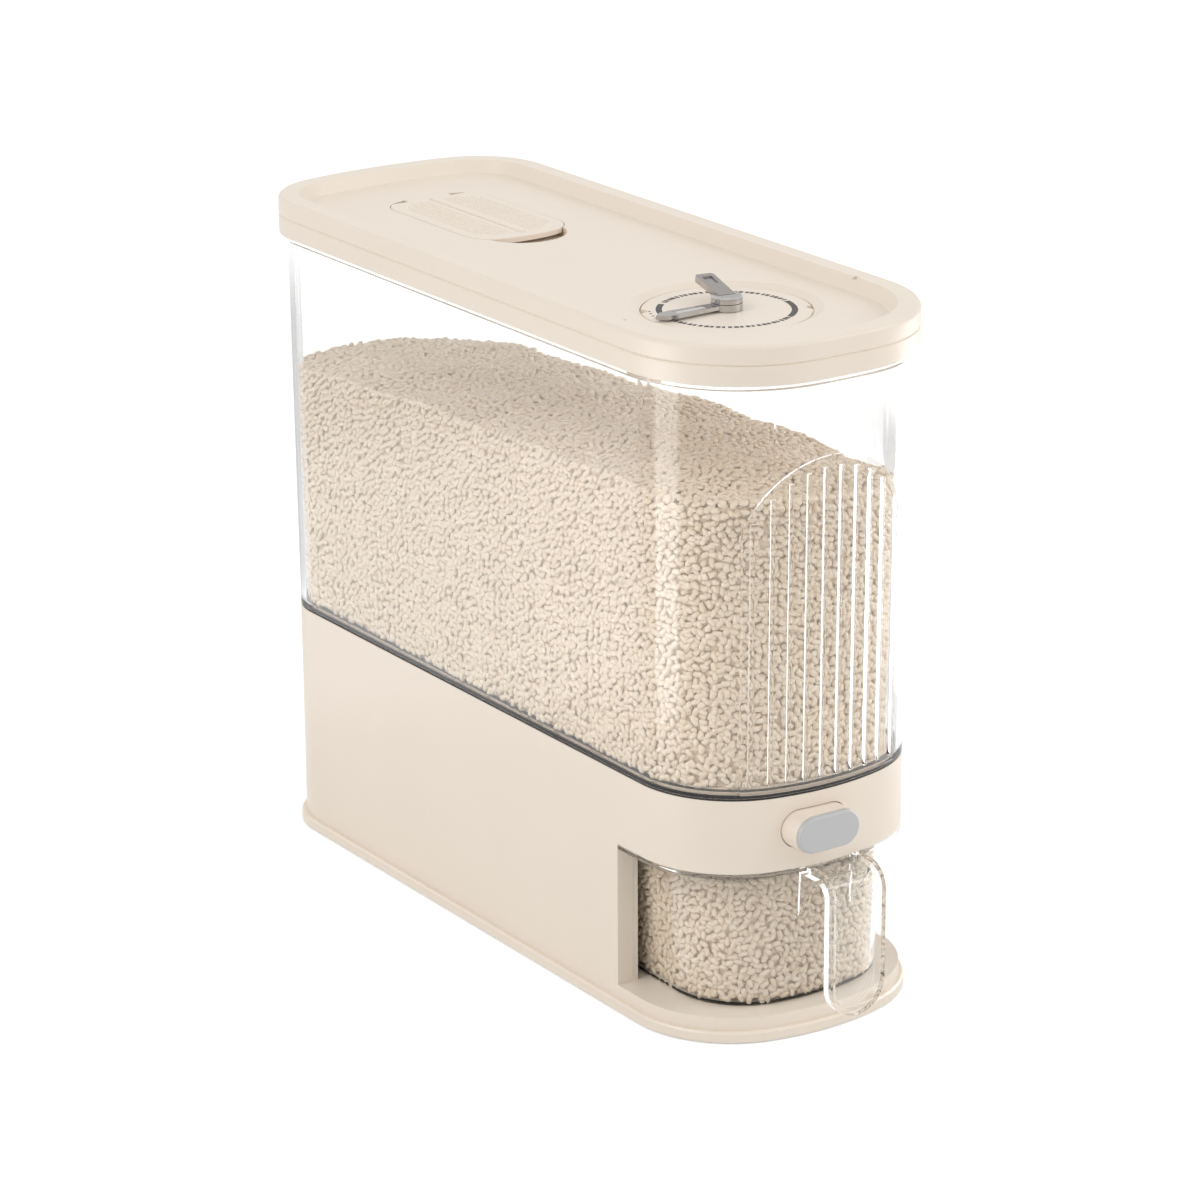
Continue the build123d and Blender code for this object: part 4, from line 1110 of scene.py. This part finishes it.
@dataclass
class Lid:
    """The lid with its hatch and date dial.

    Attributes:
        shells: Nodes in the beige shell finish.
        steel: Nodes of bare steel.
        hands: Nodes in the plated finish.
        dial_y: The dial's centre behind the body's centre.
        disc_top: Height of the disc.
        ring_radius: Middle radius of the printed ring.
        ring_width: Its width.
        ink: Thickness of the print.
        ink_gap: Gap between the disc and the print, which keeps their faces apart.
        stroke_step: Angle that one face of a stroke covers.
        solid_arcs: Start and end angles of the ring's two solid arcs.
        arc_margins: Angles before and after a solid arc where no dash starts.
        dash_pitch: Angle from one printed dash to the next.
        dash_kinds: Count of the dashes' different lengths.
        dash_least: Length of the shortest dash, as a share of the pitch.
        dash_spread: How much longer the longest dash is, as a share of the pitch.
        dash_width: Width of a dash, as a share of the ring's width.
        tick_count: Count of the ticks outside the ring.
        tick_start: Angle where the first tick starts.
        tick_pitch: Angle from one tick to the next.
        tick_length: Angle that a tick covers.
        tick_offset: How far outside the ring's middle radius the ticks lie.
        tick_width: Their width.
        hatch_y: Middle of the hatch behind the body's centre.
        hatch_top: Height of the hatch.
        dot_radius: Radius of the hatch's raised dots.
        dot_flatness: Their height as a share of their width.
        dot_pitch: Distance between dots along a row.
        row_pitch: Distance between rows of dots.
        row_start: What is added to a row's distance from the hatch's middle line.
        rows: Numbers of the rows on each side, counted from the middle line.
        row_reach: Half the length of a row beside the ridge.
        corner_x: Distance from the middle line where the rows start to get shorter.
        corner_slope: How much shorter at each end a row gets for each mm past that.
        inlay_size: Length, width and thickness of the strip in the lower hand.
        inlay_bevel: Bevel of its edges.
        inlay_x: Its middle, from the dial's centre.
        inlay_rise: Height of its middle above the disc.
    """

    shells: tuple[str, ...] = ("lid_ring", "lid_top", "hatch_cover", "dial_disc")
    steel: tuple[str, ...] = ("hatch_pin", "dial_spindle", "spindle_washer")
    hands: tuple[str, ...] = ("lower_hand", "upper_hand")
    dial_y: float = -112.0
    disc_top: float = 334.6
    ring_radius: float = 31.8
    ring_width: float = 2.9
    ink: float = 0.05
    ink_gap: float = 0.01
    stroke_step: float = 3.0
    solid_arcs: tuple[tuple[float, float], ...] = ((-56.0, -8.0), (128.0, 160.0))
    arc_margins: tuple[float, float] = (4.0, 1.0)
    dash_pitch: float = 5.0
    dash_kinds: int = 5
    dash_least: float = 0.5
    dash_spread: float = 0.3
    dash_width: float = 0.9
    tick_count: int = 5
    tick_start: float = 150.0
    tick_pitch: float = 6.5
    tick_length: float = 1.6
    tick_offset: float = 4.6
    tick_width: float = 1.2
    hatch_y: float = 102.6
    hatch_top: float = 336.7
    dot_radius: float = 0.55
    dot_flatness: float = 0.8
    dot_pitch: float = 1.9
    row_pitch: float = 2.6
    row_start: float = 0.8
    rows: range = range(2, 9)
    row_reach: float = 40.0
    corner_x: float = 14.0
    corner_slope: float = 0.9
    inlay_size: tuple[float, float, float] = (16.4, 3.6, 0.5)
    inlay_bevel: float = 0.12
    inlay_x: float = -21.0
    inlay_rise: float = 2.8

    def stroke(
        self, shape: bmesh.types.BMesh, start: float, end: float, radius: float, width: float
    ) -> None:
        """Adds one printed stroke along the ring.

        Args:
            shape: The bmesh that it is added to.
            start: Its first angle, in degrees.
            end: Its last angle.
            radius: Its middle radius.
            width: Its width.
        """
        angle = math.radians(start)
        direction = Vector((math.cos(angle), math.sin(angle), 0))
        inner = shape.verts.new(direction * (radius - width / 2))
        outer = shape.verts.new(direction * (radius + width / 2))
        edge = shape.edges.new((inner, outer))
        bmesh.ops.spin(
            shape,
            geom=[inner, outer, edge],
            cent=(0, 0, 0),
            axis=(0, 0, 1),
            angle=math.radians(end - start),
            steps=max(2, round((end - start) / self.stroke_step)),
        )

    def printed_ring(self) -> None:
        """Makes the dial's print: two solid arcs, dashes between them and a few outer ticks."""
        shape = bmesh.new()
        for start, end in self.solid_arcs:
            self.stroke(shape, start, end, self.ring_radius, self.ring_width)
        before, after = self.arc_margins
        for index in range(round(360 / self.dash_pitch)):
            start = -180 + index * self.dash_pitch
            if any(low - before < start < high + after for low, high in self.solid_arcs):
                continue
            longer = (2 * index) % self.dash_kinds / (self.dash_kinds - 1)
            length = self.dash_pitch * (self.dash_least + self.dash_spread * longer)
            width = self.ring_width * self.dash_width
            self.stroke(shape, start, start + length, self.ring_radius, width)
        for index in range(self.tick_count):
            start = self.tick_start + index * self.tick_pitch
            radius = self.ring_radius + self.tick_offset
            self.stroke(shape, start, start + self.tick_length, radius, self.tick_width)
        bmesh.ops.recalc_face_normals(shape, faces=shape.faces)
        self.thicken(shape)
        place = (0, BODY_Y + self.dial_y, self.disc_top + self.ink_gap)
        bmesh.ops.translate(shape, vec=place, verts=shape.verts)
        finished_piece("dial_print", shape, INK, Body.LID, smooth=False)

    def thicken(self, shape: bmesh.types.BMesh) -> None:
        """Gives the flat strokes of a print its thickness.

        Args:
            shape: The bmesh that holds the strokes.
        """
        faces = list(shape.faces)
        raised = bmesh.ops.extrude_face_region(shape, geom=faces, use_keep_orig=True)["geom"]
        verts = [item for item in raised if isinstance(item, bmesh.types.BMVert)]
        bmesh.ops.translate(shape, vec=(0, 0, self.ink), verts=verts)
        bmesh.ops.recalc_face_normals(shape, faces=shape.faces)

    def hatch_dots(self) -> None:
        """Makes the rows of small raised dots on both sides of the hatch's ridge."""
        shape = bmesh.new()
        for row in self.rows:
            x = row * self.row_pitch + self.row_start
            reach = self.row_reach - max(0.0, x - self.corner_x) * self.corner_slope
            for index in range(int(2 * reach / self.dot_pitch)):
                y = -reach + (index + 0.5 * (row % 2)) * self.dot_pitch
                for side in (-1, 1):
                    bmesh.ops.create_icosphere(
                        shape,
                        subdivisions=1,
                        radius=self.dot_radius,
                        matrix=Matrix.Translation((side * x, y, 0)),
                    )
        bmesh.ops.scale(shape, vec=(1, 1, self.dot_flatness), verts=shape.verts)
        bmesh.ops.translate(shape, vec=(0, BODY_Y + self.hatch_y, self.hatch_top), verts=shape.verts)
        finished_piece("hatch_dots", shape, SHELL, Body.HATCH)

    def pointer_inlay(self) -> None:
        """Makes the pale strip in the lower hand's pocket."""
        shape = bmesh.new()
        bmesh.ops.create_cube(shape, size=1.0)
        bmesh.ops.scale(shape, vec=self.inlay_size, verts=shape.verts)
        bmesh.ops.bevel(
            shape,
            geom=shape.edges,
            offset=self.inlay_bevel,
            affect="EDGES",
            segments=2,
            profile=0.5,
            material=-1,
        )
        place = (self.inlay_x, BODY_Y + self.dial_y, self.disc_top + self.inlay_rise)
        bmesh.ops.translate(shape, vec=place, verts=shape.verts)
        finished_piece("pointer_inlay", shape, INLAY, Body.LOWER_POINTER, smooth=False)

    def build(self) -> None:
        """Dresses the lid's nodes and adds its marks."""
        dress(self.shells, SHELL)
        dress(("desiccant_box",), INNER)
        dress(("lid_seal",), RUBBER)
        dress(self.steel, STEEL)
        dress(self.hands, PLATED)
        self.printed_ring()
        self.pointer_inlay()
        self.hatch_dots()


# ---------------------------------------------------------------- studio


@dataclass
class Lamp:
    """One soft rectangular lamp.

    Attributes:
        name: Its name.
        place: Where it stands, in metres.
        aim: The point it faces, in metres.
        width: Its width, in metres.
        height: Its height, in metres.
        power: Its power, in watts.
    """

    name: str
    place: Point
    aim: Point
    width: float
    height: float
    power: float

    def build(self) -> None:
        """Adds the lamp to the scene."""
        light = bpy.data.lights.new(self.name, "AREA")
        light.shape = "RECTANGLE"
        light.size = self.width
        light.size_y = self.height
        light.energy = self.power
        lamp = bpy.data.objects.new(self.name, light)
        lamp.location = self.place
        direction = Vector(self.aim) - Vector(self.place)
        lamp.rotation_euler = direction.to_track_quat("-Z", "Y").to_euler()
        bpy.context.scene.collection.objects.link(lamp)


@dataclass
class Card:
    """A flat card beside the object. The camera doesn't see it, but polished surfaces mirror it.

    Attributes:
        name: Its name.
        place: Its middle, in metres.
        aim: The point it faces, in metres.
        width: Its width, in metres.
        height: Its height, in metres.
        level: Its brightness, where 1 is white.
        through: Whether it also shows through clear plastic.
        fade: Share of its half width and half height over which it fades out at its edges.
    """

    name: str
    place: Point
    aim: Point
    width: float
    height: float
    level: float
    through: bool
    fade: float = 0.45

    def cover(self, sheet: ShaderSheet) -> bpy.types.NodeSocket:
        """Adds nodes that tell how solid the card is.

        Args:
            sheet: The card's nodes.

        Returns:
            A socket that goes from 0 at the card's edges to 1 in its middle.
        """
        place = sheet.add("ShaderNodeTexCoord")
        parts = sheet.add("ShaderNodeSeparateXYZ")
        both = sheet.add("ShaderNodeMath", operation="MULTIPLY")
        sheet.join(place.outputs["UV"], parts.inputs[0])
        for index, side in enumerate(("X", "Y")):
            near = sheet.add("ShaderNodeMath", {1: 0.5}, operation="PINGPONG")
            ramp = sheet.add(
                "ShaderNodeMapRange", {"From Max": self.fade / 2}, interpolation_type="SMOOTHSTEP"
            )
            sheet.join(parts.outputs[side], near.inputs[0])
            sheet.join(near.outputs[0], ramp.inputs["Value"])
            sheet.join(ramp.outputs["Result"], both.inputs[index])
        return both.outputs[0]

    def build(self) -> None:
        """Adds the card to the scene."""
        shape = bmesh.new()
        shape.loops.layers.uv.new()
        bmesh.ops.create_grid(shape, x_segments=1, y_segments=1, size=0.5, calc_uvs=True)
        bmesh.ops.scale(shape, vec=(self.width, self.height, 1.0), verts=shape.verts)
        facing = (Vector(self.aim) - Vector(self.place)).to_track_quat("Z", "Y").to_matrix().to_4x4()
        bmesh.ops.transform(shape, matrix=Matrix.Translation(self.place) @ facing, verts=shape.verts)
        mesh = bpy.data.meshes.new(self.name)
        shape.to_mesh(mesh)
        shape.free()
        material, sheet = new_material(f"{self.name}_paint")
        output = sheet.add("ShaderNodeOutputMaterial")
        light = sheet.add("ShaderNodeEmission", {"Strength": self.level})
        clear = sheet.add("ShaderNodeBsdfTransparent")
        either = sheet.add("ShaderNodeMixShader")
        sheet.join(self.cover(sheet), either.inputs[0])
        sheet.join(clear.outputs["BSDF"], either.inputs[1])
        sheet.join(light.outputs["Emission"], either.inputs[2])
        sheet.join(either.outputs["Shader"], output.inputs["Surface"])
        mesh.materials.append(material)
        card = bpy.data.objects.new(self.name, mesh)
        bpy.context.scene.collection.objects.link(card)
        card.visible_camera = False
        card.visible_diffuse = False
        card.visible_shadow = False
        card.visible_transmission = self.through


@dataclass
class Studio:
    """Floor, world light, lamps and the camera of the photograph.

    Attributes:
        azimuth: Angle of the camera to the left of the front, in degrees.
        elevation: Its angle above the floor, in degrees.
        roll: Its roll, in degrees.
        focal_px: Its focal length in pixels of the photograph's frame.
        sensor_width: Width of its sensor, in mm.
        distance: Its distance from the target, in mm.
        target: The point that it looks at before it is moved in its own plane, in mm.
        centre_px: Where the target shows in the photograph's frame.
        frame_px: Width and height of the photograph's frame.
        world_level: Strength of the world's light.
        floor_reach: From the floor's middle to its edges, in metres.
        floor_colour: The floor's colour.
        floor_glow: What the floor adds where the camera sees it, so that it reads as white.
        lamps: The lamps.
        cards: The cards that polished surfaces mirror.
    """

    azimuth: float = 34.4
    elevation: float = 19.01
    roll: float = -0.32
    focal_px: float = 4275.13
    sensor_width: float = 36.0
    distance: float = 2135.18
    target: Point = (0.0, BODY_Y, 172.82)
    centre_px: tuple[float, float] = (593.18, 574.91)
    frame_px: int = 1200
    world_level: float = 0.75
    floor_reach: float = 20.0
    floor_colour: Colour = (0.93, 0.93, 0.93)
    floor_glow: float = 0.3
    lamps: tuple[Lamp, ...] = (
        Lamp("key_lamp", (-1.6, -0.1, 1.6), (0, 0, 0.15), 1.2, 1.2, 9.0),
        Lamp("fill_lamp", (1.8, -1.3, 1.4), (0, 0, 0.15), 1.2, 1.2, 14.0),
    )
    cards: tuple[Card, ...] = (
        Card("left_card", (-0.196, -0.117, 0.21), (-0.06, -0.16, 0.21), 0.10, 0.28, 5.0, False),
        Card("rear_card", (-0.198, 0.22, 0.102), (-0.064, 0.025, 0.183), 0.27, 0.19, 1.9, False),
        Card("front_card", (0.134, -0.395, 0.125), (0.0, -0.2, 0.206), 0.36, 0.2, 1.3, False),
        Card("right_card", (0.34, -0.15, 0.15), (0.0, -0.2, 0.15), 0.16, 0.22, 12.0, False),
        Card("rear_shade", (-0.05, 0.45, 0.13), (-0.05, 0.0, 0.13), 0.24, 0.26, 0.6, True),
        Card("right_shade", (0.30, 0.02, 0.10), (0.0, 0.0, 0.10), 0.28, 0.19, 0.7, True, 0.3),
    )

    def white_where_seen(self, sheet: ShaderSheet) -> bpy.types.NodeSocket:
        """Adds nodes that tell what the camera sees, directly, mirrored or through clear plastic.

        Args:
            sheet: The node tree they are added to.

        Returns:
            A socket that is 1 for such rays and 0 for others.
        """
        path = sheet.add("ShaderNodeLightPath")
        first = sheet.add("ShaderNodeMath", operation="MAXIMUM")
        second = sheet.add("ShaderNodeMath", operation="MAXIMUM")
        sheet.join(path.outputs["Is Camera Ray"], first.inputs[0])
        sheet.join(path.outputs["Is Glossy Ray"], first.inputs[1])
        sheet.join(first.outputs[0], second.inputs[0])
        sheet.join(path.outputs["Is Transmission Ray"], second.inputs[1])
        return second.outputs[0]

    def world(self) -> None:
        """Makes the world: an even soft light that is seen as white."""
        world = bpy.data.worlds.new("studio_world")
        world.use_nodes = True
        bpy.context.scene.world = world
        sheet = ShaderSheet(world.node_tree)
        output = sheet.add("ShaderNodeOutputWorld")
        light = sheet.add("ShaderNodeBackground", {"Color": (1, 1, 1, 1)})
        level = sheet.scaled(self.white_where_seen(sheet), self.world_level, 1.0)
        sheet.join(level, light.inputs["Strength"])
        sheet.join(light.outputs["Background"], output.inputs["Surface"])

    def floor(self) -> None:
        """Makes the pale floor."""
        shape = bmesh.new()
        bmesh.ops.create_grid(shape, x_segments=1, y_segments=1, size=self.floor_reach)
        mesh = bpy.data.meshes.new("floor")
        shape.to_mesh(mesh)
        shape.free()
        material, sheet = new_material("floor_paint")
        output = sheet.add("ShaderNodeOutputMaterial")
        shader = sheet.add(
            "ShaderNodeBsdfPrincipled",
            {
                "Base Color": (*self.floor_colour, 1),
                "Roughness": 1.0,
                "Specular IOR Level": 0.0,
                "Emission Color": (1, 1, 1, 1),
            },
        )
        glow = sheet.scaled(self.white_where_seen(sheet), 0.0, self.floor_glow)
        sheet.join(glow, shader.inputs["Emission Strength"])
        sheet.join(shader.outputs["BSDF"], output.inputs["Surface"])
        mesh.materials.append(material)
        floor = bpy.data.objects.new("floor", mesh)
        bpy.context.scene.collection.objects.link(floor)

    def camera(self) -> None:
        """Sets up the camera that the photograph was taken with."""
        azimuth, elevation = math.radians(self.azimuth), math.radians(self.elevation)
        roll = math.radians(self.roll)
        back = Vector(
            (
                -math.sin(azimuth) * math.cos(elevation),
                -math.cos(azimuth) * math.cos(elevation),
                math.sin(elevation),
            )
        )
        level_right = (-back).cross(Vector((0, 0, 1))).normalized()
        level_up = level_right.cross(-back)
        right = level_right * math.cos(roll) + level_up * math.sin(roll)
        up = level_up * math.cos(roll) - level_right * math.sin(roll)
        per_px = self.distance / self.focal_px
        middle = self.frame_px / 2
        place = (
            Vector(self.target)
            + back * self.distance
            - right * ((self.centre_px[0] - middle) * per_px)
            + up * ((self.centre_px[1] - middle) * per_px)
        )
        camera = bpy.data.cameras.new("photo_camera")
        camera.sensor_width = self.sensor_width
        camera.sensor_fit = "HORIZONTAL"
        camera.lens = self.focal_px / self.frame_px * camera.sensor_width
        eye = bpy.data.objects.new("photo_camera", camera)
        turn = Matrix((right, up, back)).transposed().to_4x4()
        eye.matrix_world = Matrix.Translation(place * MM) @ turn
        bpy.context.scene.collection.objects.link(eye)
        bpy.context.scene.camera = eye

    def build(self) -> None:
        """Sets up the whole studio."""
        self.world()
        self.floor()
        for item in (*self.lamps, *self.cards):
            item.build()
        self.camera()
        bpy.context.scene.view_settings.view_transform = "Standard"


def main() -> None:
    """Builds the looks in order."""
    logging.basicConfig(level=logging.INFO, format="%(message)s")
    grain = GrainShape().source()
    Base().build()
    Hopper().build(grain)
    MeasuringCup().build(grain)
    Lid().build()
    Studio().build()
    bpy.data.objects.remove(grain)


if __name__ == "__main__":
    main()
